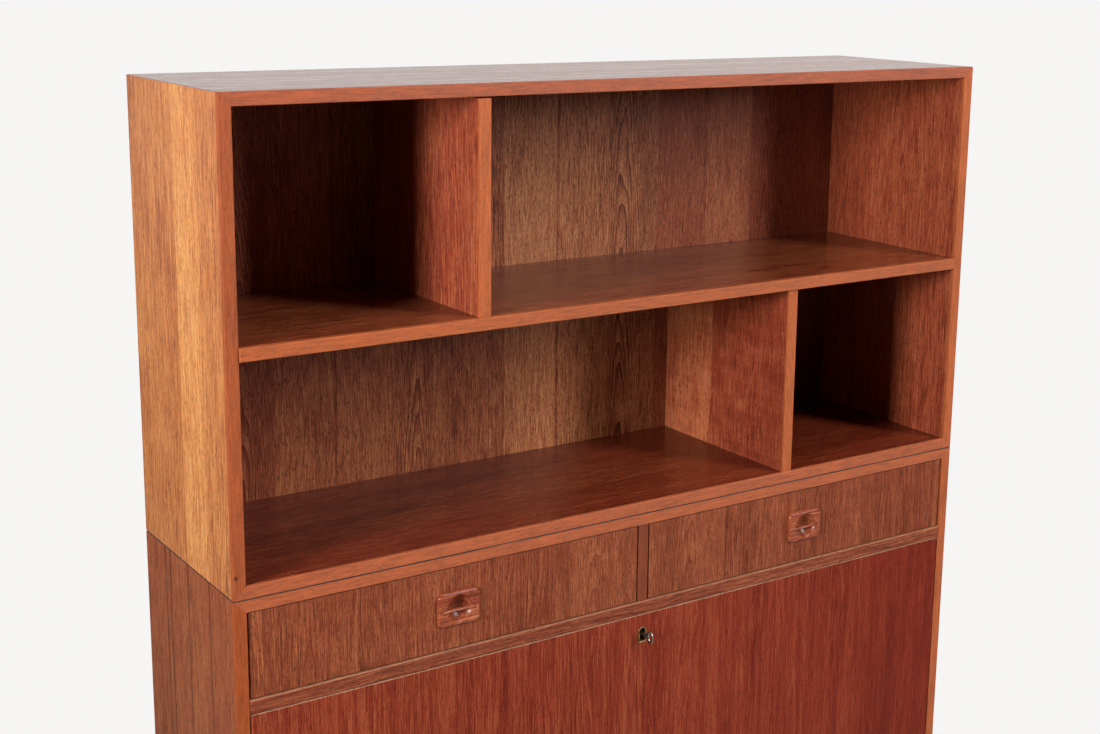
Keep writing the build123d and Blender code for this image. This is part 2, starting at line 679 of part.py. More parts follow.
def make_lock(flap):
    """Add the lock case, bolt, escutcheon, screws and strike plate; return the flap cut for them."""
    half = LOCK_WIDTH / 2
    z_low = Z_FLAP_TOP - LOCK_HEIGHT
    case = block((-half, half), (Y_LOCK, Y_FLAP_BACK), (z_low, Z_FLAP_TOP))
    selvedge_half = SELVEDGE_WIDTH / 2
    selvedge = block(
        (-selvedge_half, selvedge_half),
        (Y_LOCK, Y_FLAP_BACK),
        (Z_FLAP_TOP - SELVEDGE_THICK, Z_FLAP_TOP),
    )
    case += selvedge
    flap -= case
    case -= block(
        (-half + LOCK_WALL, half - LOCK_WALL),
        (Y_LOCK + LOCK_WALL, Y_FLAP_BACK - LOCK_WALL),
        (z_low + LOCK_WALL, Z_FLAP_TOP - SELVEDGE_THICK),
    )
    case -= bolt_block(BOLT_FIT, SELVEDGE_THICK)
    case -= keyhole((Y_LOCK - LOCK_WALL, Y_LOCK + 2 * LOCK_WALL))
    screws = []
    y_middle = (Y_LOCK + Y_FLAP_BACK) / 2
    for x_sign in SIDES.values():
        x = x_sign * (selvedge_half - LOCK_SCREW_INSET)
        hole = lock_screw(x, y_middle, Z_FLAP_TOP, 1, SCREW_GAP)
        case -= hole
        flap -= hole
        screws.append(lock_screw(x, y_middle, Z_FLAP_TOP, 1, 0))
    nodes["lock_case"] = case
    nodes["lock_screws"] = group(screws)
    nodes["lock_bolt"] = bolt_block(0, 0)
    flap -= escutcheon_block((Y_FRONT - LOCK_WALL, Y_LOCK), ESCUTCHEON_RIM)
    return flap - make_escutcheon()


def make_strike():
    """Add the strike plate and its screws under the rail, with a mortise above for the bolt."""
    y_bolt = Y_FLAP_BACK - LOCK_WALL - BOLT_REAR_GAP - BOLT_THICK / 2
    half = STRIKE_WIDTH / 2
    plate = block(
        (-half, half),
        (y_bolt - STRIKE_DEPTH / 2, y_bolt + STRIKE_DEPTH / 2),
        (Z_RAIL_BOTTOM, Z_RAIL_BOTTOM + STRIKE_THICK),
    )
    nodes["drawer_rail"] -= plate
    mortise = bolt_block(BOLT_FIT, BOLT_THROW + BOLT_TOP_SINK + STRIKE_HEADROOM)
    nodes["drawer_rail"] -= mortise
    plate -= mortise
    screws = []
    for x_sign in SIDES.values():
        x = x_sign * (half - LOCK_SCREW_INSET)
        hole = lock_screw(x, y_bolt, Z_RAIL_BOTTOM, -1, SCREW_GAP)
        plate -= hole
        nodes["drawer_rail"] -= hole
        screws.append(lock_screw(x, y_bolt, Z_RAIL_BOTTOM, -1, 0))
    nodes["strike_plate"] = plate
    nodes["strike_screws"] = group(screws)


def make_key():
    """Add the key: an oval ring bow, a collar, a shank and a bit that hangs down in the lock."""
    y_bow = Y_FRONT - BOW_CENTRE
    y_bit = Y_LOCK + LOCK_WALL + KEY_BIT_GAP
    y_end = y_bit + KEY_BIT_LENGTH
    y_ring = y_bow + BOW_LENGTH / 2 - BOW_RIM / 2
    face = Plane(origin=(-BOW_THICK / 2, y_bow, Z_KEY), x_dir=(0, 1, 0), z_dir=(1, 0, 0))
    ring = Ellipse(BOW_LENGTH / 2, BOW_HEIGHT / 2)
    ring -= Ellipse(BOW_LENGTH / 2 - BOW_RIM, BOW_HEIGHT / 2 - BOW_RIM)
    bow = extrude(face * ring, amount=BOW_THICK)
    bow = fillet(bow.edges(), BOW_EASE)
    shank = rod(KEY_SHANK_RADIUS, (0, y_ring, Z_KEY), (0, y_end, Z_KEY))
    y_collar = y_bow + BOW_LENGTH / 2
    collar = rod(KEY_COLLAR_RADIUS, (0, y_collar, Z_KEY), (0, y_collar + KEY_COLLAR_LENGTH, Z_KEY))
    half = KEY_BIT_THICK / 2
    bit = block((-half, half), (y_bit, y_end), (Z_KEY - KEY_BIT_REACH, Z_KEY))
    nodes["key"] = bow + shank + collar + bit


def make_flap():
    """Add the fall front with its end pivots, and the pivot plates let into the case sides."""
    flap = block((-X_FLAP, X_FLAP), (Y_FRONT, Y_FLAP_BACK), (Z_FLAP_BOTTOM, Z_FLAP_TOP))
    flap = fillet(edges_at(flap, Axis.Y, Y_FRONT), FLAP_EASE)
    flange_half = PIVOT_FLANGE_WIDTH / 2
    plate_y = Y_FRONT + PIVOT_PLATE_FRONT_GAP
    z_flange = (Z_PIVOT - PIVOT_FLANGE_HEIGHT / 2, Z_PIVOT + PIVOT_FLANGE_HEIGHT / 2)
    z_plate = (Z_PIVOT - PIVOT_PLATE_HEIGHT / 2, Z_PIVOT + PIVOT_PLATE_HEIGHT / 2)
    pivots = []
    plates = []
    for side, x_sign in SIDES.items():
        flange = block(
            (x_sign * (X_FLAP - PIVOT_FLANGE_THICK), x_sign * X_FLAP),
            (Y_PIVOT - flange_half, Y_PIVOT + flange_half),
            z_flange,
        )
        inner = (x_sign * (X_FLAP - PIVOT_PIN_IN), Y_PIVOT, Z_PIVOT)
        outer = (x_sign * (X_INNER + PIVOT_PIN_OUT), Y_PIVOT, Z_PIVOT)
        bore_end = (x_sign * (X_FLAP - PIVOT_PIN_IN - PIVOT_END_GAP), Y_PIVOT, Z_PIVOT)
        hole_end = (x_sign * (X_INNER + PIVOT_PIN_OUT + PIVOT_END_GAP), Y_PIVOT, Z_PIVOT)
        hole = rod(PIVOT_RADIUS + PIVOT_FIT, bore_end, hole_end)
        plate = block((x_sign * X_INNER, x_sign * (X_INNER + PIVOT_PLATE_THICK)),
                      (plate_y, plate_y + PIVOT_PLATE_WIDTH), z_plate)
        flap -= flange
        flap -= hole
        nodes[f"lower_{side}_side"] -= plate
        nodes[f"lower_{side}_side"] -= hole
        pivots.append(flange + rod(PIVOT_RADIUS, inner, outer))
        plates.append(plate - hole)
    nodes["flap_pivots"] = group(pivots)
    nodes["pivot_plates"] = group(plates)
    nodes["flap_panel"] = make_lock(flap)


def make_desk_inside():
    """Add the desk floor on its cleats, and the pigeonholes at the back of the desk."""
    y_floor = Y_PIVOT + TAIL_RISE + FLOOR_FRONT_GAP
    floor = block((-X_INNER, X_INNER), (y_floor, Y_PANEL), (Z_FLOOR, Z_FLOOR_TOP))
    y_cleat = Y_PIVOT + TAIL_REACH + CLEAT_CLEARANCE
    cleats = []
    for x_sign in SIDES.values():
        x_limits = (x_sign * (X_INNER - CLEAT_WIDTH), x_sign * X_INNER)
        cleats.append(block(x_limits, (y_cleat, Y_PANEL), (Z_FLOOR - CLEAT_HEIGHT, Z_FLOOR)))
    y_pigeon = Y_PANEL - PIGEON_DEPTH
    z_shelf = Z_FLOOR_TOP + PIGEON_RISE
    x_reach = X_INNER + PIGEON_HOUSING
    shelf = block((-x_reach, x_reach), (y_pigeon, Y_PANEL), (z_shelf, z_shelf + PIGEON_THICK))
    for side in SIDES:
        nodes[f"lower_{side}_side"] -= shelf
    pitch = 2 * X_INNER / (PIGEON_DIVIDER_COUNT + 1)
    half = PIGEON_THICK / 2
    dividers = []
    for index in range(PIGEON_DIVIDER_COUNT):
        x = -X_INNER + pitch * (index + 1)
        divider = block(
            (x - half, x + half),
            (y_pigeon + PIGEON_DIVIDER_SETBACK, Y_PANEL),
            (Z_FLOOR_TOP - PIGEON_DIVIDER_GROOVE, z_shelf + PIGEON_DIVIDER_GROOVE),
        )
        floor -= divider
        shelf -= divider
        dividers.append(divider)
    nodes["desk_floor"] = floor
    nodes["floor_cleats"] = group(cleats)
    nodes["pigeonhole_shelf"] = shelf
    nodes["pigeonhole_dividers"] = group(dividers)


def leg_centre(x_sign, y_sign):
    """Return the (x, y) centre of a leg."""
    x = x_sign * (X_OUTER - LEG_SIDE_INSET - LEG_BLOCK / 2)
    y_edge = Y_FRONT + LEG_FRONT_INSET if y_sign < 0 else Y_BACK - LEG_FRONT_INSET
    return x, y_edge - y_sign * LEG_BLOCK / 2


def make_leg(x, y):
    """Return a leg with a square block at its top and a turned taper under it."""
    half = LEG_BLOCK / 2
    z_block = Z_LOWER - LEG_BLOCK_HEIGHT
    square = block((x - half, x + half), (y - half, y + half), (z_block, Z_LOWER))
    square = fillet(square.edges().filter_by(Axis.Z), LEG_EASE)
    square = fillet(edges_at(square, Axis.Z, z_block), LEG_EASE)
    height = z_block - GLIDE_THICK
    taper = Cone(LEG_FOOT_RADIUS, LEG_TOP_RADIUS, height, align=(Align.CENTER, Align.CENTER, Align.MIN))
    taper = fillet(edges_at(taper, Axis.Z, 0), LEG_EASE)
    return square + Pos(x, y, GLIDE_THICK) * taper


def apron_screw(x, y, gap):
    """Return a screw up through a rail into the case, or with a gap its counterbored hole."""
    z_head = Z_LOWER - APRON_HEIGHT + APRON_SCREW_SINK
    z_low = z_head - APRON_SCREW_HEAD_THICK
    z_end = Z_LOWER + APRON_SCREW_BITE + gap
    head_base = Z_LOWER - APRON_HEIGHT if gap else z_low
    head = rod(APRON_SCREW_HEAD_RADIUS + gap, (x, y, head_base), (x, y, z_head))
    return head + rod(APRON_SCREW_RADIUS + gap, (x, y, z_head), (x, y, z_end))


def apron(limits, ends, axis):
    """Return a rail of the leg frame between its shoulders, with a tenon at each end.

    limits are its thickness limits, ends its shoulders, and axis says which way it runs.
    """
    z_limits = (Z_LOWER - APRON_HEIGHT, Z_LOWER)
    z_middle = sum(z_limits) / 2
    tenon_z = (z_middle - APRON_TENON_HEIGHT / 2, z_middle + APRON_TENON_HEIGHT / 2)
    middle = sum(limits) / 2
    tenon_limits = (middle - APRON_TENON_THICK / 2, middle + APRON_TENON_THICK / 2)
    tenon_ends = (ends[0] - APRON_TENON, ends[1] + APRON_TENON)
    if axis == Axis.X:
        board = block(ends, limits, z_limits)
        tenon = block(tenon_ends, tenon_limits, tenon_z)
    else:
        board = block(limits, ends, z_limits)
        tenon = block(tenon_limits, tenon_ends, tenon_z)
    lower_edges = edges_at(board, Axis.Z, z_limits[0]).filter_by(axis)
    return fillet(lower_edges, APRON_EASE) + tenon


def make_leg_frame():
    """Add the legs, the rails between them, the screws into the case and the glides."""
    half = LEG_BLOCK / 2
    x_leg, y_rear = leg_centre(1, 1)
    y_fore = leg_centre(1, -1)[1]
    y_long = {
        "front": (y_fore - half + APRON_SETBACK, y_fore - half + APRON_SETBACK + APRON_THICK),
        "back": (y_rear + half - APRON_SETBACK - APRON_THICK, y_rear + half - APRON_SETBACK),
    }
    long_rails = {end: apron(limits, (-x_leg + half, x_leg - half), Axis.X) for end, limits in y_long.items()}
    x_outside = x_leg + half - APRON_SETBACK
    short_rails = {}
    for side, x_sign in SIDES.items():
        limits = (x_sign * x_outside, x_sign * (x_outside - APRON_THICK))
        short_rails[side] = apron(limits, (y_fore + half, y_rear - half), Axis.Y)
    glides = []
    for end, y_sign in ENDS.items():
        for side, x_sign in SIDES.items():
            x, y = leg_centre(x_sign, y_sign)
            nodes[f"leg_{end}_{side}"] = make_leg(x, y) - long_rails[end] - short_rails[side]
            glides.append(rod(GLIDE_RADIUS, (x, y, 0), (x, y, GLIDE_THICK)))
    screws = []
    x_screw = x_leg - half - APRON_SCREW_INSET
    for end, limits in y_long.items():
        y = sum(limits) / 2
        for x in (-x_screw, 0, x_screw):
            hole = apron_screw(x, y, APRON_SCREW_GAP)
            long_rails[end] -= hole
            nodes["lower_bottom"] -= hole
            screws.append(apron_screw(x, y, 0))
    for end, rail in long_rails.items():
        nodes[f"base_{end}_rail"] = rail
    nodes["base_side_rails"] = group(short_rails.values())
    nodes["base_screws"] = group(screws)
    nodes["leg_glides"] = group(glides)


back_screws = make_case("lower", Z_LOWER, Z_JOINT)
back_screws += make_case("upper", Z_JOINT, Z_TOP)
nodes["back_screws"] = group(back_screws)
make_bookcase_inside()
make_stack_dowels()
make_rail()
make_runners()
make_drawer("left", -X_INNER, -PARTITION_THICK / 2)
make_drawer("right", PARTITION_THICK / 2, X_INNER)
make_flap()
make_strike()
make_key()
make_desk_inside()
make_leg_frame()

os.makedirs("parts", exist_ok=True)
for node, shape in nodes.items():
    export_step(shape, f"parts/{node}.step")
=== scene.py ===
"""Looks, studio and camera for the teak secretary desk."""

import logging
import math
from dataclasses import dataclass, replace
from enum import Enum
from typing import Any, Sequence

import bpy
from mathutils import Matrix, Vector

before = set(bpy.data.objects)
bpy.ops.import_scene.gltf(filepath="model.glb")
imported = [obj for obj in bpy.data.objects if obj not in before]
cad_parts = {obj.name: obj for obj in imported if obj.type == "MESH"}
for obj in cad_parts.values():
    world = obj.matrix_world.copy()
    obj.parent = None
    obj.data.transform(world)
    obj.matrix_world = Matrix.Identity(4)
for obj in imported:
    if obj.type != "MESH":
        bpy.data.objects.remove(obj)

logging.basicConfig(level=logging.INFO, format="%(message)s")
log = logging.getLogger("secretary")

MM_PER_METRE = 1000.0
SENSOR_WIDTH = 36.0

# The grain's noises: width across the grain and length along it, in millimetres.
WANDER_SIZE = (60.0, 330.0)
BLUSH_SIZE = (75.0, 260.0)
MOTTLE_SIZE = (30.0, 95.0)
RIPPLE_SIZE = (70.0, 17.0)
STREAK_LENGTH = 520.0
FIBRE_LENGTH = 34.0
PORE_LENGTH = 6.0
NOISE_ROUGHNESS = 0.6
NOISE_MEAN = 0.5
MOTTLE_AMOUNT = 0.35

# Growth lines: how far an arch's centre line strays and one arch stands above the next, in millimetres, how
# wide the arches open, how many rings the noises push a line aside, and how dark late wood is.
CENTRE_STRAY = 30.0
ARCH_RISE = 64.0
ARCH_OPENING = 130.0
STREAK_PUSH = 5.0
WANDER_PUSH = 5.0
MOTTLE_PUSH = 1.2
LATE_SHARPNESS = 3.0
LATE_MEAN = 0.125
LATE_GAIN = 2.0

# Tones: where dark, middle and light wood stand on the scale, and what makes a patch redder.
TONE_STOPS = (0.08, 0.5, 0.92)
SEAM_SHADE = 0.22
LEAF_SEED = 37.0
RED_LEVEL = 0.9
RED_STREAKS = 0.6
RED_BLUSH = 1.2

# Edges and wear: the lipping's own grain and gloss, and the full core of a line or mark as a share of its
# width.
LIPPING_MOTTLE = 0.5
LIPPING_FIBRES = 1.5
LIPPING_PORES = 0.4
LIPPING_ROUGHNESS = 0.6
LINE_CORE = 0.4
MARK_CORE = 0.3

# Surface: where the noises count as pore, haze or fibre, how dull that makes the wood, how deep pores are
# next to fibres, and the height of the relief in metres.
PORE_BAND = (0.52, 0.68)
HAZE_BAND = (0.35, 0.7)
FIBRE_BAND = (0.25, 0.75)
ROUGHER_EARLY_WOOD = 0.1
SMOOTHER_LATE_WOOD = 0.06
PORE_DEPTH = -1.5
COAT_ROUGHNESS = 0.28
GRAIN_RELIEF = 0.0006
FINE_RELIEF = 0.0003

# Metal and plastic: where the noise counts as patina, dullness or scuff.
PATINA_BAND = (0.38, 0.66)
BLOTCH_BAND = (0.3, 0.7)
SCUFF_BAND = (0.45, 0.75)


class Axis(Enum):
    """A direction of the part's own frame."""

    X = "X"
    Y = "Y"
    Z = "Z"


class Figure(Enum):
    """How a leaf was cut from the log."""

    STRAIGHT = 0.0
    ARCHED = 1.0


def linear(code: str) -> tuple[float, float, float, float]:
    """Turn an sRGB hex colour into Blender's linear colour.

    Args:
        code: Six hex digits after a hash sign.

    Returns:
        Red, green, blue and an alpha of 1.
    """
    parts = [int(code[i : i + 2], 16) / 255 for i in (1, 3, 5)]
    red, green, blue = (c / 12.92 if c <= 0.04045 else ((c + 0.055) / 1.055) ** 2.4 for c in parts)
    return red, green, blue, 1.0


def add_node(tree: bpy.types.NodeTree, kind: str, inputs: dict[Any, Any], **settings: Any) -> bpy.types.Node:
    """Add one shader node with its settings and its links.

    Args:
        tree: The node tree that gets it.
        kind: The node's Blender type.
        inputs: Input name or number, to a value, to the output that feeds it, or to a node whose first
            output feeds it.
        **settings: Properties of the node itself.

    Returns:
        The new node.
    """
    node = tree.nodes.new(kind)
    for name, value in settings.items():
        setattr(node, name, value)
    for key, value in inputs.items():
        if isinstance(value, bpy.types.Node):
            tree.links.new(value.outputs[0], node.inputs[key])
        elif isinstance(value, bpy.types.NodeSocket):
            tree.links.new(value, node.inputs[key])
        else:
            node.inputs[key].default_value = value
    return node


def new_material(name: str) -> bpy.types.Material:
    """Make an empty node material.

    Args:
        name: What the material is.

    Returns:
        The material, without nodes.
    """
    material = bpy.data.materials.new(name)
    material.use_nodes = True
    material.node_tree.nodes.clear()
    return material


def dress(nodes: Sequence[str], material: bpy.types.Material) -> None:
    """Give CAD nodes a finish.

    Args:
        nodes: Names of the nodes.
        material: What they are made of.
    """
    for name in nodes:
        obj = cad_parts[name]
        obj.data.materials.clear()
        obj.data.materials.append(material)
        log.info("%s in %s", name, material.name)


@dataclass(frozen=True)
class Leaf:
    """One leaf of veneer, or one board of solid wood, laid side by side with others in a panel."""

    width: float
    tone: float = 0.5
    red: float = 0.5
    figure: Figure = Figure.STRAIGHT
    centre: float = 0.5


@dataclass(frozen=True)
class Mark:
    """A dent, pin hole or small stain, or painted shade in a hollow, as a dark spot with a soft edge."""

    place: tuple[float, float, float]
    radius: float
    depth: float = 0.8


@dataclass(frozen=True)
class Line:
    """A thin line about one plane: a pale arris, partly rubbed wear and partly painted highlight; painted
    shade in a joint; or a dark growth line.
    """

    axis: Axis
    place: float
    width: float = 1.3
    share: float = 0.55
    colour: str = "#b38b6a"


@dataclass(frozen=True)
class WoodFinish:
    """Oiled wood: leaves of slightly different tone, growth lines, streaks, fibres and open pores.

    Sizes are in millimetres. Teak pores are about 0.3 mm wide, too fine for the render, so they are drawn
    about three times as wide.
    """

    name: str
    along: Axis
    across: Axis
    dark: str
    middle: str
    light: str
    red: str = "#652213"
    red_share: float = 0.5
    pit: str = "#1c0905"
    start: float = -600.0
    leaves: tuple[Leaf, ...] = (Leaf(1200.0),)
    seam: float = 0.0
    streak: float = 15.0
    streak_amount: float = 0.6
    fibre: float = 1.25
    fibre_amount: float = 1.9
    blush_amount: float = 0.5
    growth: float = 0.25
    growth_step: float = 7.0
    arch_amount: float = 1.0
    ripple: float = 0.0
    wave: float = 9.0
    pore: float = 0.85
    pore_amount: float = 0.7
    roughness: float = 0.46
    specular: float = 0.14
    haze: float = 0.0
    bump: float = 0.15
    polish: float = 0.0
    lipping: str = ""
    lipping_edge: float = -126.95
    lines: tuple[Line, ...] = ()
    marks: tuple[Mark, ...] = ()
    seed: float = 0.0

    def span(self) -> float:
        """Return the width of all leaves together."""
        return sum(leaf.width for leaf in self.leaves)

    def lay_leaves(self, tree: bpy.types.NodeTree, share: bpy.types.Node) -> bpy.types.Node:
        """Lay the leaves out over the panel.

        Args:
            tree: The material's node tree.
            share: Distance across the panel, from 0 to 1.

        Returns:
            A ramp whose colour holds tone, redness and figure, and whose alpha holds the place of the
            figure's centre across the panel.
        """
        ramp = add_node(tree, "ShaderNodeValToRGB", {0: share})
        ramp.color_ramp.interpolation = "CONSTANT"
        stops = ramp.color_ramp.elements
        stops.remove(stops[1])
        begin = 0.0
        for number, leaf in enumerate(self.leaves):
            middle = (begin + leaf.centre * leaf.width) / self.span()
            stop = stops.new(begin / self.span()) if number else stops[0]
            if number and self.seam:
                stop.color = (leaf.tone - SEAM_SHADE, leaf.red, leaf.figure.value, middle)
                stop = stops.new((begin + self.seam) / self.span())
            stop.color = (leaf.tone, leaf.red, leaf.figure.value, middle)
            begin += leaf.width
        return ramp

    def draw_grain(
        self, tree: bpy.types.NodeTree, sides: Sequence[bpy.types.NodeSocket], seed: bpy.types.Node
    ) -> dict[str, bpy.types.Node]:
        """Draw the noises of the grain, each drawn out along it.

        Args:
            tree: The material's node tree.
            sides: Coordinates across, through and along the board, in millimetres.
            seed: A number of each leaf's own.

        Returns:
            The noises by name, and the coordinate across the board, bent by the grain's wander.
        """
        across, through, along = sides
        course = add_node(tree, "ShaderNodeCombineXYZ", {0: across, 1: through, 2: along})
        # Width, length and detail of each noise. All but the first follow the course that the first bends.
        layers = {
            "wander": (*WANDER_SIZE, 2.0),
            "blush": (*BLUSH_SIZE, 2.0),
            "mottle": (*MOTTLE_SIZE, 3.0),
            "streaks": (self.streak, STREAK_LENGTH, 3.0),
            "fibres": (self.fibre, FIBRE_LENGTH, 3.0),
            "pores": (self.pore, PORE_LENGTH, 1.0),
            "ripple": (*RIPPLE_SIZE, 2.0),
        }
        grain = {}
        for name, (width, length, detail) in layers.items():
            scale = (1 / width, 1 / width, 1 / length)
            drawn = add_node(tree, "ShaderNodeMapping", {0: course, "Scale": scale})
            grain[name] = add_node(
                tree,
                "ShaderNodeTexNoise",
                {"Vector": drawn, "W": seed, "Scale": 1.0, "Detail": detail, "Roughness": NOISE_ROUGHNESS},
                noise_dimensions="4D",
            )
            if name == "wander":
                grain["bent"] = add_node(
                    tree,
                    "ShaderNodeMath",
                    {0: grain["wander"], 1: 2 * self.wave, 2: across},
                    operation="MULTIPLY_ADD",
                )
                course = add_node(tree, "ShaderNodeCombineXYZ", {0: grain["bent"], 1: through, 2: along})
        return grain

    def draw_growth(
        self,
        tree: bpy.types.NodeTree,
        along: bpy.types.NodeSocket,
        offset: bpy.types.Node,
        figure: bpy.types.NodeSocket,
        grain: dict[str, bpy.types.Node],
    ) -> bpy.types.Node:
        """Draw the growth lines: nested arches where the leaf was cut flat, uneven straight lines elsewhere.

        Args:
            tree: The material's node tree.
            along: Coordinate along the grain.
            offset: Distance from the figure's centre line.
            figure: 1 for an arched leaf, 0 for a straight one.
            grain: The noises of the grain.

        Returns:
            How dark the late wood is.
        """
        stray = {0: grain["wander"], 1: CENTRE_STRAY, 2: offset}
        shift = add_node(tree, "ShaderNodeMath", stray, operation="MULTIPLY_ADD")
        off = add_node(tree, "ShaderNodeMath", {0: shift, 1: CENTRE_STRAY / 2}, operation="SUBTRACT")
        square = add_node(tree, "ShaderNodeMath", {0: off, 1: off}, operation="MULTIPLY")
        bow = add_node(tree, "ShaderNodeMath", {0: square, 1: 1 / ARCH_OPENING}, operation="MULTIPLY")
        nested = {0: along, 1: 1 / ARCH_RISE, 2: bow}
        arch = add_node(tree, "ShaderNodeMath", nested, operation="MULTIPLY_ADD")
        step = add_node(tree, "ShaderNodeMath", {0: grain["bent"], 1: self.growth_step}, operation="DIVIDE")
        uneven = {0: grain["streaks"], 1: STREAK_PUSH, 2: step}
        plain = add_node(tree, "ShaderNodeMath", uneven, operation="MULTIPLY_ADD")
        rings = add_node(tree, "ShaderNodeMix", {0: figure, 2: plain, 3: arch})
        for noise, push in (("wander", WANDER_PUSH), ("mottle", MOTTLE_PUSH)):
            rings = add_node(
                tree, "ShaderNodeMath", {0: grain[noise], 1: push, 2: rings}, operation="MULTIPLY_ADD"
            )
        year = add_node(tree, "ShaderNodeMath", {0: rings}, operation="FRACT")
        late = add_node(tree, "ShaderNodeMath", {0: year, 1: LATE_SHARPNESS}, operation="POWER")
        extra = self.arch_amount - 1.0
        strong = add_node(tree, "ShaderNodeMath", {0: figure, 1: extra, 2: 1.0}, operation="MULTIPLY_ADD")
        lines = add_node(tree, "ShaderNodeMath", {0: late, 1: strong}, operation="MULTIPLY")
        return add_node(tree, "ShaderNodeMath", {0: lines, 1: grain["fibres"]}, operation="MULTIPLY")

    def mix_colour(
        self,
        tree: bpy.types.NodeTree,
        tone: bpy.types.NodeSocket,
        red: bpy.types.NodeSocket,
        late: bpy.types.Node,
        grain: dict[str, bpy.types.Node],
    ) -> bpy.types.NodeSocket:
        """Mix the wood's colour before pores and wear.

        Args:
            tree: The material's node tree.
            tone: The leaf's tone.
            red: The leaf's redness.
            late: How dark the late wood is.
            grain: The noises of the grain.

        Returns:
            The colour.
        """
        amounts = {
            "blush": self.blush_amount,
            "mottle": MOTTLE_AMOUNT,
            "streaks": self.streak_amount,
            "fibres": self.fibre_amount,
            "ripple": self.ripple,
        }
        level: Any = tone
        for name, amount in amounts.items():
            if amount:
                level = add_node(
                    tree, "ShaderNodeMath", {0: grain[name], 1: amount, 2: level}, operation="MULTIPLY_ADD"
                )
        ringed = {0: late, 1: -LATE_GAIN * self.growth, 2: level}
        level = add_node(tree, "ShaderNodeMath", ringed, operation="MULTIPLY_ADD")
        centred = NOISE_MEAN * sum(amounts.values()) - LATE_GAIN * LATE_MEAN * self.growth
        level = add_node(tree, "ShaderNodeMath", {0: level, 1: centred}, operation="SUBTRACT")
        shade = add_node(tree, "ShaderNodeValToRGB", {0: level})
        stops = shade.color_ramp.elements
        low, half, high = TONE_STOPS
        stops[0].position, stops[0].color = low, linear(self.dark)
        stops[1].position, stops[1].color = high, linear(self.light)
        stops.new(half).color = linear(self.middle)
        warmth = add_node(tree, "ShaderNodeMath", {0: red, 1: RED_LEVEL}, operation="SUBTRACT")
        for noise, amount in (("streaks", RED_STREAKS), ("blush", RED_BLUSH)):
            warmth = add_node(
                tree, "ShaderNodeMath", {0: grain[noise], 1: amount, 2: warmth}, operation="MULTIPLY_ADD"
            )
        redness = add_node(tree, "ShaderNodeMath", {0: warmth, 1: self.red_share}, operation="MULTIPLY")
        inputs = {0: redness, 6: shade.outputs[0], 7: linear(self.red)}
        return add_node(tree, "ShaderNodeMix", inputs, data_type="RGBA").outputs[2]

    def find_lipping(self, tree: bpy.types.NodeTree, parts: bpy.types.Node) -> bpy.types.Node | None:
        """Find the solid lipping on the front edge.

        Args:
            tree: The material's node tree.
            parts: The three coordinates in millimetres.

        Returns:
            1 on the lipping and 0 on the veneer, or nothing for wood without a lipping.
        """
        if not self.lipping:
            return None
        front = {0: parts.outputs["Y"], 1: self.lipping_edge}
        return add_node(tree, "ShaderNodeMath", front, operation="LESS_THAN")

    def lay_edges(
        self,
        tree: bpy.types.NodeTree,
        parts: bpy.types.Node,
        edge: bpy.types.Node | None,
        colour: bpy.types.NodeSocket,
        grain: dict[str, bpy.types.Node],
    ) -> bpy.types.NodeSocket:
        """Colour the lipping and draw the lines: pale arrises, partly wear and partly painted highlight,
        painted shade in joints and dark growth lines.

        Args:
            tree: The material's node tree.
            parts: The three coordinates in millimetres.
            edge: Where the lipping is, if there is one.
            colour: The colour so far.
            grain: The noises of the grain.

        Returns:
            The colour with its edges.
        """
        if edge is not None:
            calm = {0: grain["mottle"], 1: LIPPING_MOTTLE}
            mild = add_node(tree, "ShaderNodeMath", calm, operation="MULTIPLY")
            lively = {0: grain["fibres"], 1: LIPPING_FIBRES, 2: mild}
            shine = add_node(tree, "ShaderNodeMath", lively, operation="MULTIPLY_ADD")
            strip = add_node(
                tree, "ShaderNodeVectorMath", {0: linear(self.lipping)[:3], 3: shine}, operation="SCALE"
            )
            glued = {0: edge, 6: colour, 7: strip.outputs[0]}
            colour = add_node(tree, "ShaderNodeMix", glued, data_type="RGBA").outputs[2]
        for band in self.lines:
            place = parts.outputs[band.axis.value]
            gap = add_node(tree, "ShaderNodeMath", {0: place, 1: band.place}, operation="SUBTRACT")
            far = add_node(tree, "ShaderNodeMath", {0: gap}, operation="ABSOLUTE")
            reach = {0: far, 1: band.width, 2: LINE_CORE * band.width, 4: band.share}
            near = add_node(tree, "ShaderNodeMapRange", reach)
            patchy = add_node(tree, "ShaderNodeMath", {0: near, 1: grain["mottle"]}, operation="MULTIPLY")
            drawn = {0: patchy, 6: colour, 7: linear(band.colour)}
            colour = add_node(tree, "ShaderNodeMix", drawn, data_type="RGBA").outputs[2]
        return colour

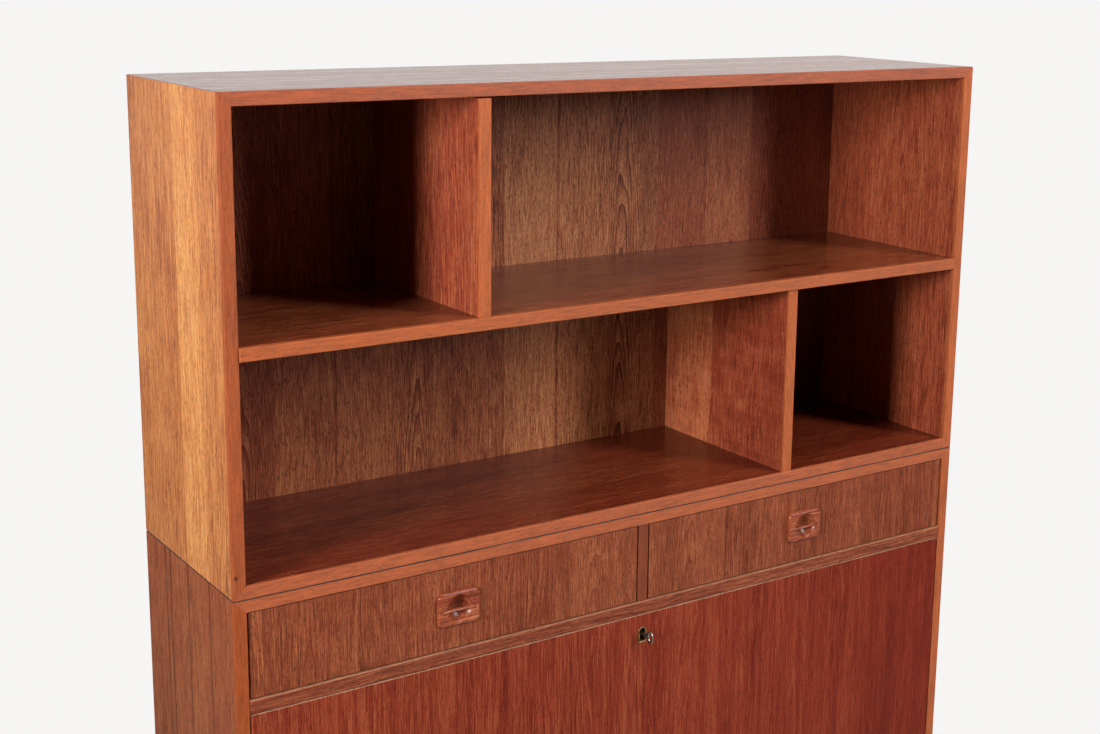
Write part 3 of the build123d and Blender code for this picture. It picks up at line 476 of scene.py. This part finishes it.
    def open_pores(
        self,
        tree: bpy.types.NodeTree,
        place: bpy.types.Node,
        edge: bpy.types.Node | None,
        grain: dict[str, bpy.types.Node],
    ) -> bpy.types.Node:
        """Open the pores, fewer on the lipping, and press in the marks.

        Args:
            tree: The material's node tree.
            place: The point in millimetres.
            edge: Where the lipping is, if there is one.
            grain: The noises of the grain.

        Returns:
            How deep in a pore or mark the point is, from 0 to 1.
        """
        band = {0: grain["pores"], 1: PORE_BAND[0], 2: PORE_BAND[1], 4: self.pore_amount}
        pitted = add_node(tree, "ShaderNodeMapRange", band)
        if edge is not None:
            share = {0: edge, 1: LIPPING_PORES - 1.0, 2: 1.0}
            closed = add_node(tree, "ShaderNodeMath", share, operation="MULTIPLY_ADD")
            pitted = add_node(tree, "ShaderNodeMath", {0: pitted, 1: closed}, operation="MULTIPLY")
        for mark in self.marks:
            gap = add_node(tree, "ShaderNodeVectorMath", {0: place, 1: mark.place}, operation="SUBTRACT")
            reach = add_node(tree, "ShaderNodeVectorMath", {0: gap}, operation="LENGTH")
            spread = {0: reach.outputs["Value"], 1: mark.radius, 2: MARK_CORE * mark.radius, 4: mark.depth}
            dent = add_node(tree, "ShaderNodeMapRange", spread)
            pitted = add_node(tree, "ShaderNodeMath", {0: pitted, 1: dent}, operation="MAXIMUM")
        return pitted

    def dull_surface(
        self, tree: bpy.types.NodeTree, edge: bpy.types.Node | None, grain: dict[str, bpy.types.Node]
    ) -> bpy.types.Node:
        """Work out how dull the wood is: fibres differ a little, worn streaks and the lipping more.

        Args:
            tree: The material's node tree.
            edge: Where the lipping is, if there is one.
            grain: The noises of the grain.

        Returns:
            The roughness.
        """
        rough = self.roughness + ROUGHER_EARLY_WOOD
        smooth = self.roughness - SMOOTHER_LATE_WOOD
        band = {0: grain["fibres"], 1: FIBRE_BAND[0], 2: FIBRE_BAND[1], 3: rough, 4: smooth}
        dull = add_node(tree, "ShaderNodeMapRange", band)
        if self.haze:
            worn = {0: grain["streaks"], 1: HAZE_BAND[0], 2: HAZE_BAND[1], 3: 0.0, 4: self.haze}
            cloud = add_node(tree, "ShaderNodeMapRange", worn)
            dull = add_node(tree, "ShaderNodeMath", {0: dull, 1: cloud}, operation="ADD")
        if edge is not None:
            dull = add_node(tree, "ShaderNodeMix", {0: edge, 2: dull, 3: LIPPING_ROUGHNESS})
        return dull

    def build(self) -> bpy.types.Material:
        """Build the material.

        Returns:
            The finished material.
        """
        material = new_material(self.name)
        tree = material.node_tree
        spot = add_node(tree, "ShaderNodeTexCoord", {}).outputs["Object"]
        place = add_node(tree, "ShaderNodeVectorMath", {0: spot, 3: MM_PER_METRE}, operation="SCALE")
        parts = add_node(tree, "ShaderNodeSeparateXYZ", {0: place})
        third = next(axis for axis in Axis if axis not in (self.along, self.across))
        across, through, along = (parts.outputs[axis.value] for axis in (self.across, third, self.along))
        share = add_node(tree, "ShaderNodeMapRange", {0: across, 1: self.start, 2: self.start + self.span()})
        leaves = self.lay_leaves(tree, share)
        centre = leaves.outputs["Alpha"]
        split = add_node(tree, "ShaderNodeSeparateColor", {0: leaves.outputs["Color"]})
        tone, red, figure = split.outputs[:3]
        own = {0: centre, 1: LEAF_SEED, 2: self.seed}
        seed = add_node(tree, "ShaderNodeMath", own, operation="MULTIPLY_ADD")
        grain = self.draw_grain(tree, (across, through, along), seed)
        apart = add_node(tree, "ShaderNodeMath", {0: share, 1: centre}, operation="SUBTRACT")
        offset = add_node(tree, "ShaderNodeMath", {0: apart, 1: self.span()}, operation="MULTIPLY")
        late = self.draw_growth(tree, along, offset, figure, grain)
        edge = self.find_lipping(tree, parts)
        colour = self.lay_edges(tree, parts, edge, self.mix_colour(tree, tone, red, late, grain), grain)
        pitted = self.open_pores(tree, place, edge, grain)
        final = add_node(tree, "ShaderNodeMix", {0: pitted, 6: colour, 7: linear(self.pit)}, data_type="RGBA")
        rise = {0: pitted, 1: PORE_DEPTH, 2: grain["fibres"]}
        height = add_node(tree, "ShaderNodeMath", rise, operation="MULTIPLY_ADD")
        relief = add_node(
            tree, "ShaderNodeBump", {"Height": height, "Strength": self.bump, "Distance": GRAIN_RELIEF}
        )
        surface = add_node(
            tree,
            "ShaderNodeBsdfPrincipled",
            {
                "Base Color": final.outputs[2],
                "Roughness": self.dull_surface(tree, edge, grain),
                "Specular IOR Level": self.specular,
                "Coat Weight": self.polish,
                "Coat Roughness": COAT_ROUGHNESS,
                "Normal": relief,
            },
        )
        add_node(tree, "ShaderNodeOutputMaterial", {"Surface": surface})
        return material


@dataclass(frozen=True)
class MetalFinish:
    """A small metal fitting, dulled by age: clean metal, darker patina in patches and fine handling marks."""

    name: str
    clean: str
    aged: str
    patch: float = 6.0
    scratch: float = 0.8
    roughness: float = 0.34
    rubbed: float = 0.08
    tarnished: float = 0.16
    bump: float = 0.08

    def build(self) -> bpy.types.Material:
        """Build the material.

        Returns:
            The finished material.
        """
        material = new_material(self.name)
        tree = material.node_tree
        spot = add_node(tree, "ShaderNodeTexCoord", {}).outputs["Object"]
        size = MM_PER_METRE / self.patch
        patches = add_node(
            tree,
            "ShaderNodeTexNoise",
            {"Vector": spot, "Scale": size, "Detail": 4.0, "Roughness": NOISE_ROUGHNESS},
        )
        marks = add_node(
            tree, "ShaderNodeTexNoise", {"Vector": spot, "Scale": MM_PER_METRE / self.scratch, "Detail": 2.0}
        )
        share = add_node(tree, "ShaderNodeMapRange", {0: patches, 1: PATINA_BAND[0], 2: PATINA_BAND[1]})
        colour = add_node(
            tree, "ShaderNodeMix", {0: share, 6: linear(self.clean), 7: linear(self.aged)}, data_type="RGBA"
        )
        smooth, rough = self.roughness - self.rubbed, self.roughness + self.tarnished
        dull = add_node(
            tree,
            "ShaderNodeMapRange",
            {0: patches, 1: BLOTCH_BAND[0], 2: BLOTCH_BAND[1], 3: smooth, 4: rough},
        )
        relief = add_node(
            tree, "ShaderNodeBump", {"Height": marks, "Strength": self.bump, "Distance": FINE_RELIEF}
        )
        surface = add_node(
            tree,
            "ShaderNodeBsdfPrincipled",
            {"Base Color": colour.outputs[2], "Metallic": 1.0, "Roughness": dull, "Normal": relief},
        )
        add_node(tree, "ShaderNodeOutputMaterial", {"Surface": surface})
        return material


@dataclass(frozen=True)
class PlasticFinish:
    """Moulded plastic of a leg glide: faint mould grit, scuffed and dusty."""

    name: str
    colour: str
    scuff: str
    scuff_amount: float = 0.6
    grit: float = 1.5
    roughness: float = 0.55
    bump: float = 0.1

    def build(self) -> bpy.types.Material:
        """Build the material.

        Returns:
            The finished material.
        """
        material = new_material(self.name)
        tree = material.node_tree
        spot = add_node(tree, "ShaderNodeTexCoord", {})
        grit = add_node(
            tree,
            "ShaderNodeTexNoise",
            {"Vector": spot.outputs["Object"], "Scale": MM_PER_METRE / self.grit, "Detail": 3.0},
        )
        worn = {0: grit, 1: SCUFF_BAND[0], 2: SCUFF_BAND[1], 4: self.scuff_amount}
        share = add_node(tree, "ShaderNodeMapRange", worn)
        tint = add_node(
            tree, "ShaderNodeMix", {0: share, 6: linear(self.colour), 7: linear(self.scuff)}, data_type="RGBA"
        )
        relief = add_node(
            tree, "ShaderNodeBump", {"Height": grit, "Strength": self.bump, "Distance": FINE_RELIEF}
        )
        surface = add_node(
            tree,
            "ShaderNodeBsdfPrincipled",
            {"Base Color": tint.outputs[2], "Roughness": self.roughness, "Normal": relief},
        )
        add_node(tree, "ShaderNodeOutputMaterial", {"Surface": surface})
        return material


# Oiled teak: red brown, with dark streaks and open pores that catch dirt. Oil leaves it dull, and only a
# slanting look finds a sheen.
TEAK = WoodFinish(
    name="oiled_teak_veneer",
    along=Axis.Z,
    across=Axis.X,
    dark="#421609",
    middle="#713721",
    light="#975b38",
)

# Solid teak, planed and oiled: the same colour, with coarser streaks than the sliced veneer.
SOLID_TEAK = replace(
    TEAK,
    name="oiled_solid_teak",
    along=Axis.X,
    across=Axis.Z,
    middle="#753a22",
    start=0.0,
    leaves=(Leaf(1800.0),),
    streak=18.0,
)

# Steamed beech, planed and left bare: pale and even, with short fine flecks.
BEECH = WoodFinish(
    name="bare_beech",
    along=Axis.Y,
    across=Axis.Z,
    dark="#8b7150",
    middle="#a68d69",
    light="#b6a17f",
    red_share=0.0,
    pit="#735637",
    start=0.0,
    leaves=(Leaf(1800.0),),
    fibre_amount=0.7,
    growth=0.15,
    roughness=0.6,
    specular=0.4,
)

# Rotary cut plywood: broad, soft, wavy figure, paler than the beech.
PLYWOOD = replace(
    BEECH,
    name="bare_birch_plywood",
    along=Axis.X,
    across=Axis.Y,
    dark="#937955",
    middle="#ab9471",
    light="#b9a788",
    start=-200.0,
    leaves=(Leaf(400.0, figure=Figure.ARCHED),),
    growth=0.3,
    wave=26.0,
    seed=52.0,
)

# Cast brass gone brown with handling: yellow only where fingers rub it.
AGED_BRASS = MetalFinish("aged_brass", "#a8935f", "#4a3c26")
# Nickelled steel worn to grey, with brown patches where the plating is gone.
AGED_STEEL = MetalFinish("aged_steel", "#8d877e", "#3c352e", roughness=0.3)
# Zinc plated screws: pale grey, a little blotchy.
SCREW_STEEL = MetalFinish("zinc_plated_steel", "#b9b9b6", "#7d7a74")
# Moulded black plastic, scuffed grey by floors.
GLIDE_PLASTIC = PlasticFinish("moulded_glide_plastic", "#2b2723", "#6a635c")


@dataclass
class Bookcase:
    """The open upper case with its shelf, two dividers and back, in millimetres."""

    front: float = -131.95
    depth: float = 288.0
    back_start: float = -586.0
    back_leaf: float = 89.0
    golden_leaf: float = 71.0
    joint: float = 1150.0
    chip: tuple[float, float, float] = (-576.0, -131.95, 1178.0)

    def painted_joint_shade(self) -> Line:
        """Return the dark line where the two cases meet: painted shade in the joint."""
        return Line(Axis.Z, self.joint, share=2.0, colour="#1a0704")

    def side_finish(self) -> WoodFinish:
        """Describe the right side's veneer, which the dividers share.

        Returns:
            The finish.
        """
        return replace(
            TEAK,
            name="teak_right_side_veneer",
            across=Axis.Y,
            dark="#4e190e",
            middle="#894027",
            light="#ab6641",
            start=self.front,
            leaves=(Leaf(100.0, 0.5, 0.6), Leaf(95.0, 0.52, 0.5), Leaf(93.0, 0.46, 0.6)),
            lipping="#8d4826",
            lines=(self.painted_joint_shade(),),
            seed=15.0,
        )

    def left_finish(self) -> WoodFinish:
        """Describe the left side's veneer, with its one golden leaf.

        Returns:
            The finish.
        """
        rest = self.depth - 2 * self.golden_leaf
        return replace(
            self.side_finish(),
            name="teak_left_side_veneer",
            dark="#602d13",
            middle="#9a5d32",
            light="#bb874d",
            leaves=(
                Leaf(self.golden_leaf, 0.5, 0.3),
                Leaf(self.golden_leaf, 0.62, 0.05),
                Leaf(rest, 0.48, 0.3),
            ),
            streak_amount=0.35,
            fibre=1.05,
            fibre_amount=1.8,
            blush_amount=0.65,
            specular=0.2,
            lipping="#7e3b1a",
            marks=(Mark(self.chip, 4.0),),
            seed=4.0,
        )

    def board_finish(self) -> WoodFinish:
        """Describe the veneer of the boards that lie flat, rubbed to a sheen by use.

        Returns:
            The finish.
        """
        leaf = self.depth / 3
        return replace(
            TEAK,
            name="teak_board_veneer",
            along=Axis.X,
            across=Axis.Y,
            dark="#380e06",
            middle="#692c18",
            light="#8a4b2c",
            red="#5a180e",
            start=self.front,
            leaves=(Leaf(leaf, 0.46, 0.9), Leaf(leaf, 0.52, 0.8, Figure.ARCHED), Leaf(leaf, 0.5, 0.7)),
            lipping="#88411d",
            lines=(self.painted_joint_shade(),),
            streak_amount=0.9,
            fibre=1.8,
            fibre_amount=2.2,
            pore=1.1,
            pore_amount=0.8,
            specular=0.35,
            roughness=0.2,
            bump=0.06,
            seed=3.0,
        )

    def back_finish(self) -> WoodFinish:
        """Describe the back panel's veneer: narrow leaves, golden in the middle, redder to the right and
        darker at the right end as painted shade.

        Returns:
            The finish.
        """
        cuts = (
            (0.46, 0.8, Figure.STRAIGHT, 0.5),
            (0.47, 0.8, Figure.ARCHED, 0.5),
            (0.52, 0.7, Figure.STRAIGHT, 0.5),
            (0.47, 0.6, Figure.STRAIGHT, 0.5),
            (0.5, 0.5, Figure.ARCHED, 0.4),
            (0.46, 0.5, Figure.STRAIGHT, 0.5),
            (0.62, 0.2, Figure.STRAIGHT, 0.5),
            (0.56, 0.15, Figure.STRAIGHT, 0.5),
            (0.54, 0.1, Figure.ARCHED, 0.3),
            (0.46, 1.0, Figure.STRAIGHT, 0.5),
            (0.54, 0.9, Figure.STRAIGHT, 0.5),
            (0.4, 1.0, Figure.ARCHED, 0.4),
            # The last two leaves are dark: painted shade where the right side shadows the back.
            (0.24, 1.1, Figure.STRAIGHT, 0.5),
            (0.22, 1.1, Figure.STRAIGHT, 0.5),
        )
        return replace(
            TEAK,
            name="teak_back_veneer",
            dark="#41180b",
            middle="#864a2d",
            light="#ac764d",
            start=self.back_start,
            leaves=tuple(Leaf(self.back_leaf, *cut) for cut in cuts),
            red="#6e291a",
            seam=1.2,
            streak_amount=0.3,
            fibre=1.0,
            fibre_amount=2.3,
            blush_amount=0.75,
            growth=0.14,
            arch_amount=4.0,
            pore=0.75,
            pore_amount=0.85,
            specular=0.12,
            seed=9.0,
        )

    def dress(self) -> None:
        """Finish the case boards, shelf, dividers and back."""
        side = self.side_finish()
        upper_divider = replace(side, name="teak_upper_divider_veneer", middle="#7d3926", seed=27.0)
        # One wavy leaf among straight ones: the grain swings, and light and dark ripple across it.
        lower_divider = replace(
            side,
            name="teak_lower_divider_veneer",
            leaves=(Leaf(112.0, 0.42, 0.9), Leaf(58.0, 0.44, 0.8), Leaf(118.0, 0.7, 0.3)),
            wave=22.0,
            ripple=0.7,
            seed=31.0,
        )
        board = self.board_finish()
        dress(("upper_left_side",), self.left_finish().build())
        dress(("upper_right_side",), side.build())
        dress(("upper_divider",), upper_divider.build())
        dress(("lower_divider",), lower_divider.build())
        dress(("upper_bottom",), board.build())
        # The shelf is paler than the other boards: painted light for the sheen and light on its top.
        shelf = replace(
            board,
            name="teak_shelf_veneer",
            middle="#804427",
            light="#a16741",
            lipping="#873d0d",
            specular=0.4,
            seed=5.0,
        )
        dress(("bookcase_shelf",), shelf.build())
        # The top is paler than the other boards, painted light for the glare on it, and has the most sheen, a
        # little clouded along its streaks.
        top = replace(
            board,
            name="teak_top_veneer",
            middle="#80492c",
            light="#9e6744",
            lipping="#7d350d",
            specular=0.4,
            roughness=0.15,
            haze=0.1,
            bump=0.08,
            seed=8.0,
        )
        dress(("upper_top",), top.build())
        dress(("upper_back",), self.back_finish().build())
        dress(("upper_splines", "bookcase_dowels", "stack_dowels"), replace(BEECH, name="beech_pins").build())


@dataclass
class LowerCase:
    """The lower case: its boards and back, the drawer rail and the pigeonholes behind the flap."""

    bookcase: Bookcase
    rail_top: float = 1025.0
    rail_foot: float = 1007.5
    years: tuple[float, ...] = (-57.0, 12.0, 72.0, 88.0)

    def dark_years(self) -> tuple[Line, ...]:
        """Return the dark growth lines that run up the left side."""
        return tuple(Line(Axis.Y, year, width=2.2, share=1.3, colour="#2c1006") for year in self.years)

    def dress(self) -> None:
        """Finish the case, the rail and what stands inside."""
        # Duller than the side above it, and darker, as painted shade for the light falling off towards the
        # floor, with a few dark growth lines up its whole height.
        left = replace(
            self.bookcase.left_finish(),
            name="teak_lower_left_veneer",
            dark="#49200e",
            middle="#784125",
            light="#976137",
            leaves=(Leaf(96.0, 0.5, 0.7), Leaf(71.0, 0.52, 0.4), Leaf(121.0, 0.47, 0.5)),
            lines=(self.bookcase.painted_joint_shade(), *self.dark_years()),
            specular=0.12,
            marks=(),
            seed=44.0,
        )
        side = self.bookcase.side_finish()
        dress(("lower_left_side",), left.build())
        dress(("lower_right_side",), replace(side, name="teak_lower_right_veneer", seed=47.0).build())
        board = replace(self.bookcase.board_finish(), name="teak_lower_board_veneer", seed=12.0)
        dress(("lower_top", "lower_bottom"), board.build())
        inside = replace(board, name="teak_inside_veneer", lipping="", roughness=0.4, seed=17.0)
        dress(("desk_floor", "pigeonhole_shelf"), inside.build())
        upright = replace(side, name="teak_partition_veneer", lipping="#652f1a", seed=19.0)
        dress(("drawer_partition", "pigeonhole_dividers"), upright.build())
        back = replace(self.bookcase.back_finish(), name="teak_lower_back_veneer", seed=14.0)
        dress(("lower_back",), back.build())
        # Solid teak whose arrises are drawn pale: partly rubbed wear, partly a painted highlight where the
        # eased arris catches light.
        rail = replace(
            SOLID_TEAK,
            name="solid_teak_rail",
            lines=(Line(Axis.Z, self.rail_top), Line(Axis.Z, self.rail_foot, share=0.3)),
            seed=6.0,
        )
        dress(("drawer_rail", "flap_stop"), rail.build())
        dress(("drawer_runners", "floor_cleats", "lower_splines"), BEECH.build())
        dress(("dust_board",), PLYWOOD.build())


@dataclass
class Drawers:
    """The two drawers with their pulls."""

    start: float = -563.0
    end_strip: float = 14.0
    pull_red: str = "#813a22"
    pull_places: tuple[float, ...] = (-283.0, 289.0)
    # Painted shade in each pull's hollow: where it sits, how wide it spreads and how dark it is.
    pull_hollow: tuple[float, float] = (-124.2, 1075.0)
    painted_shade_radius: float = 18.0
    painted_shade_depth: float = 0.55

    def front_finish(self) -> WoodFinish:
        """Describe the veneer that runs across both drawer fronts.

        Returns:
            The finish.
        """
        strip = Leaf(self.end_strip, 0.55, 0.4)
        left = (
            Leaf(125.0, 0.5, 0.4, Figure.ARCHED),
            Leaf(140.0, 0.5, 0.4),
            Leaf(140.0, 0.48, 0.5),
            Leaf(130.0, 0.52, 0.3, Figure.ARCHED),
        )
        right = (
            Leaf(125.0, 0.52, 0.3, Figure.ARCHED),
            Leaf(140.0, 0.48, 0.4),
            Leaf(140.0, 0.47, 0.5),
            Leaf(130.0, 0.45, 0.6),
        )
        return replace(
            TEAK,
            name="teak_drawer_veneer",
            middle="#6f371f",
            start=self.start,
            leaves=(strip, *left, strip, strip, *right, strip),
            fibre=1.0,
            ripple=0.25,
            pore=0.7,
            specular=0.1,
            seed=21.0,
        )

    def dress(self) -> None:
        """Finish fronts, boxes and pulls."""
        dress(("left_drawer_front", "right_drawer_front"), self.front_finish().build())
        # Solid teak, turned and polished: glossy where the hand rubs it.
        pull = replace(
            SOLID_TEAK,
            name="polished_teak_pull",
            dark="#4c170d",
            middle=self.pull_red,
            light="#b67145",
            roughness=0.3,
            specular=0.15,
            bump=0.03,
            polish=0.1,
            seed=2.0,
        )
        # Painted shade: a dark spot with a soft edge in each pull's hollow, behind the bar, where shade
        # falls.
        hollows = tuple((place, *self.pull_hollow) for place in self.pull_places)
        painted_shade = tuple(Mark(hollow, self.painted_shade_radius, self.painted_shade_depth) for hollow in hollows)
        dress(("left_pull_plate", "right_pull_plate"), replace(pull, marks=painted_shade).build())
        dress(("left_pull_bar", "right_pull_bar"), replace(pull, name="polished_teak_bar").build())
        sides = replace(BEECH, name="beech_drawer_side", seed=61.0)
        backs = replace(BEECH, name="beech_drawer_back", along=Axis.X, seed=63.0)
        bottoms = replace(PLYWOOD, name="birch_drawer_bottom", seed=65.0)
        boxes = (("left_side", sides), ("right_side", sides), ("back", backs), ("bottom", bottoms))
        for part, finish in boxes:
            dress((f"left_drawer_{part}", f"right_drawer_{part}"), finish.build())


@dataclass
class FallFront:
    """The fall flap with its pivots, lock and key."""

    start: float = -563.0
    leaf: float = 141.0
    top: float = 1006.3

    def panel_finish(self) -> WoodFinish:
        """Describe the flap's veneer: wide straight streaks, redder to the right, and darker to the right as
        painted shade.

        Returns:
            The finish.
        """
        # Tone falls towards the right end: painted shade where less light reaches the flap's right part.
        cuts = (
            (0.54, 0.8, Figure.STRAIGHT),
            (0.55, 0.7, Figure.STRAIGHT),
            (0.5, 0.8, Figure.STRAIGHT),
            (0.52, 0.8, Figure.STRAIGHT),
            (0.48, 1.0, Figure.STRAIGHT),
            (0.42, 1.0, Figure.STRAIGHT),
            (0.38, 1.0, Figure.ARCHED),
            (0.22, 1.1, Figure.STRAIGHT),
        )
        return replace(
            TEAK,
            name="teak_flap_veneer",
            dark="#3d1007",
            middle="#6d2c19",
            light="#8f4d2e",
            start=self.start,
            leaves=tuple(Leaf(self.leaf, *cut) for cut in cuts),
            red="#6c1f13",
            streak=13.0,
            streak_amount=1.2,
            fibre_amount=2.3,
            pore_amount=0.5,
            specular=0.06,
            # A pale line along the flap's top arris: partly wear, partly a painted highlight.
            lines=(Line(Axis.Z, self.top, width=0.7, share=1.1, colour="#b99274"),),
            seed=33.0,
        )

    def dress(self) -> None:
        """Finish the panel and its fittings."""
        dress(("flap_panel",), self.panel_finish().build())
        dress(("lock_escutcheon", "flap_pivots", "pivot_plates"), AGED_BRASS.build())
        dress(("key", "lock_bolt", "lock_case", "strike_plate"), AGED_STEEL.build())


@dataclass
class LegFrame:
    """The leg frame, its glides and all screws."""

    width: float = 1160.0
    leg_streak: float = 11.0

    def dress(self) -> None:
        """Finish rails, legs, glides and screws."""
        dress(("base_front_rail", "base_back_rail"), SOLID_TEAK.build())
        dress(("base_side_rails",), replace(SOLID_TEAK, name="solid_teak_side_rail", along=Axis.Y).build())
        legs = replace(
            SOLID_TEAK,
            name="solid_teak_leg",
            along=Axis.Z,
            across=Axis.X,
            start=-self.width / 2,
            leaves=(Leaf(self.width),),
            streak=self.leg_streak,
        )
        dress([f"leg_{end}_{side}" for end in ("front", "back") for side in ("left", "right")], legs.build())
        dress(("leg_glides",), GLIDE_PLASTIC.build())
        dress(("back_screws", "base_screws", "lock_screws", "strike_screws"), SCREW_STEEL.build())


@dataclass(frozen=True)
class Lamp:
    """One softbox: where it hangs, what it points at, its size, power and spread."""

    name: str
    place: tuple[float, float, float]
    target: tuple[float, float, float]
    size: tuple[float, float]
    power: float
    spread: float = 180.0
    mirrored: bool = True

    def hang(self) -> None:
        """Hang the softbox."""
        data = bpy.data.lights.new(self.name, "AREA")
        data.shape = "RECTANGLE"
        data.size, data.size_y = self.size
        data.energy = self.power
        data.spread = math.radians(self.spread)
        obj = bpy.data.objects.new(self.name, data)
        aim = Vector(self.target) - Vector(self.place)
        obj.matrix_world = Matrix.Translation(self.place) @ aim.to_track_quat("-Z", "Y").to_matrix().to_4x4()
        obj.visible_camera = False
        obj.visible_glossy = self.mirrored
        bpy.context.scene.collection.objects.link(obj)
        log.info("lamp %s", self.name)


@dataclass
class Studio:
    """Camera, lamps, floor and backdrop, in metres and degrees."""

    place: tuple[float, float, float] = (-1.2458, -1.82435, 1.8785)
    yaw: float = 35.17
    pitch: float = 11.87
    roll: float = 0.988
    lens: float = 53.907
    shift: tuple[float, float] = (-0.06, -0.058)
    pale: str = "#f6f5f4"
    stray: str = "#f4f6fa"
    stray_strength: float = 0.008
    mirror_turn: tuple[float, float] = (-0.1, 0.5)
    mirror_front: float = 0.04
    floor_radius: float = 9.0
    floor_sides: int = 96
    floor_paint: str = "#bebcbb"
    floor_roughness: tuple[float, float] = (0.62, 0.78)
    floor_grit: float = 1 / 60
    fade: tuple[float, float] = (0.7, 1.7)
    lamps: tuple[Lamp, ...] = (
        Lamp("left_softbox", (-2.75, -1.02, 1.96), (-0.45, 0.0, 1.6), (0.55, 0.8), 42.2, 95.0),
        Lamp("right_softbox", (2.45, -3.60, 3.1), (0.0, 0.0, 1.3), (0.9, 2.2), 286.6),
        Lamp("rear_softbox", (1.1, 3.0, 2.6), (0.0, 0.0, 1.0), (1.4, 1.4), 96.6, mirrored=False),
        Lamp("overhead_softbox", (0.5, -0.75, 3.6), (0.0, 0.0, 1.5), (1.0, 0.7), 29.0),
    )

    def set_camera(self) -> None:
        """Set the camera at the photograph's viewing angle."""
        yaw, pitch, roll = (math.radians(angle) for angle in (self.yaw, self.pitch, self.roll))
        ahead = Vector((math.sin(yaw) * math.cos(pitch), math.cos(yaw) * math.cos(pitch), -math.sin(pitch)))
        right = Vector((math.cos(yaw), -math.sin(yaw), 0.0))
        up = right.cross(ahead)
        rolled_right = math.cos(roll) * right + math.sin(roll) * up
        rolled_up = -math.sin(roll) * right + math.cos(roll) * up
        turn = Matrix((rolled_right, rolled_up, -ahead)).transposed()
        data = bpy.data.cameras.new("camera")
        data.lens = self.lens
        data.sensor_width = SENSOR_WIDTH
        data.shift_x, data.shift_y = self.shift
        obj = bpy.data.objects.new("camera", data)
        obj.matrix_world = Matrix.Translation(self.place) @ turn.to_4x4()
        bpy.context.scene.collection.objects.link(obj)
        bpy.context.scene.camera = obj
        log.info("camera")

    def hang_backdrop(self) -> None:
        """Surround the object with a pale backdrop and little stray light.

        What mirrors in the object is pale behind it and dark in front, as in a studio lit from two sides.
        """
        world = bpy.data.worlds.new("studio")
        world.use_nodes = True
        tree = world.node_tree
        tree.nodes.clear()
        rays = add_node(tree, "ShaderNodeLightPath", {})
        pale = add_node(tree, "ShaderNodeBackground", {"Color": linear(self.pale), "Strength": 1.0})
        spot = add_node(tree, "ShaderNodeTexCoord", {})
        way = add_node(tree, "ShaderNodeSeparateXYZ", {0: spot.outputs["Generated"]})
        begin, end = self.mirror_turn
        behind = {0: way.outputs["Y"], 1: begin, 2: end, 3: self.mirror_front, 4: 1.0}
        rear = add_node(tree, "ShaderNodeMapRange", behind)
        mirrored = add_node(tree, "ShaderNodeBackground", {"Color": linear(self.pale), "Strength": rear})
        stray = add_node(
            tree, "ShaderNodeBackground", {"Color": linear(self.stray), "Strength": self.stray_strength}
        )
        glossy = add_node(
            tree,
            "ShaderNodeMath",
            {0: rays.outputs["Is Glossy Ray"], 1: rays.outputs["Is Transmission Ray"]},
            operation="MAXIMUM",
        )
        lit = add_node(tree, "ShaderNodeMixShader", {0: glossy, 1: stray, 2: mirrored})
        seen = add_node(tree, "ShaderNodeMixShader", {0: rays.outputs["Is Camera Ray"], 1: lit, 2: pale})
        add_node(tree, "ShaderNodeOutputWorld", {"Surface": seen})
        bpy.context.scene.world = world
        log.info("backdrop")

    def lay_floor(self) -> None:
        """Lay a pale painted floor that keeps the object's shadow and fades into the backdrop."""
        bpy.ops.object.select_all(action="DESELECT")
        bpy.ops.mesh.primitive_circle_add(
            vertices=self.floor_sides, radius=self.floor_radius, fill_type="NGON"
        )
        obj = bpy.context.object
        obj.name = "floor"
        # Matt floor paint: pale grey, a little uneven in gloss.
        material = new_material("painted_floor")
        tree = material.node_tree
        spot = add_node(tree, "ShaderNodeTexCoord", {}).outputs["Object"]
        away = add_node(tree, "ShaderNodeVectorMath", {0: spot}, operation="LENGTH")
        fade = add_node(
            tree,
            "ShaderNodeMapRange",
            {0: away.outputs["Value"], 1: self.fade[0], 2: self.fade[1]},
            interpolation_type="SMOOTHSTEP",
        )
        rays = add_node(tree, "ShaderNodeLightPath", {})
        far = {0: fade, 1: rays.outputs["Is Camera Ray"]}
        seen = add_node(tree, "ShaderNodeMath", far, operation="MULTIPLY")
        grit = add_node(
            tree, "ShaderNodeTexNoise", {"Vector": spot, "Scale": 1 / self.floor_grit, "Detail": 3.0}
        )
        smooth, dull = self.floor_roughness
        rough = add_node(tree, "ShaderNodeMapRange", {0: grit, 3: smooth, 4: dull})
        paint = add_node(
            tree, "ShaderNodeBsdfPrincipled", {"Base Color": linear(self.floor_paint), "Roughness": rough}
        )
        glow = add_node(tree, "ShaderNodeEmission", {"Color": linear(self.pale), "Strength": 1.0})
        mix = add_node(tree, "ShaderNodeMixShader", {0: seen, 1: paint, 2: glow})
        add_node(tree, "ShaderNodeOutputMaterial", {"Surface": mix})
        obj.data.materials.append(material)
        log.info("floor")

    def build(self) -> None:
        """Build the whole studio."""
        self.set_camera()
        self.hang_backdrop()
        self.lay_floor()
        for lamp in self.lamps:
            lamp.hang()
        bpy.context.scene.view_settings.view_transform = "Standard"


def main() -> None:
    """Dress the desk and build its studio."""
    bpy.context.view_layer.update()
    bookcase = Bookcase()
    for assembly in (bookcase, LowerCase(bookcase), Drawers(), FallFront(), LegFrame()):
        assembly.dress()
    Studio().build()


if __name__ == "__main__":
    main()
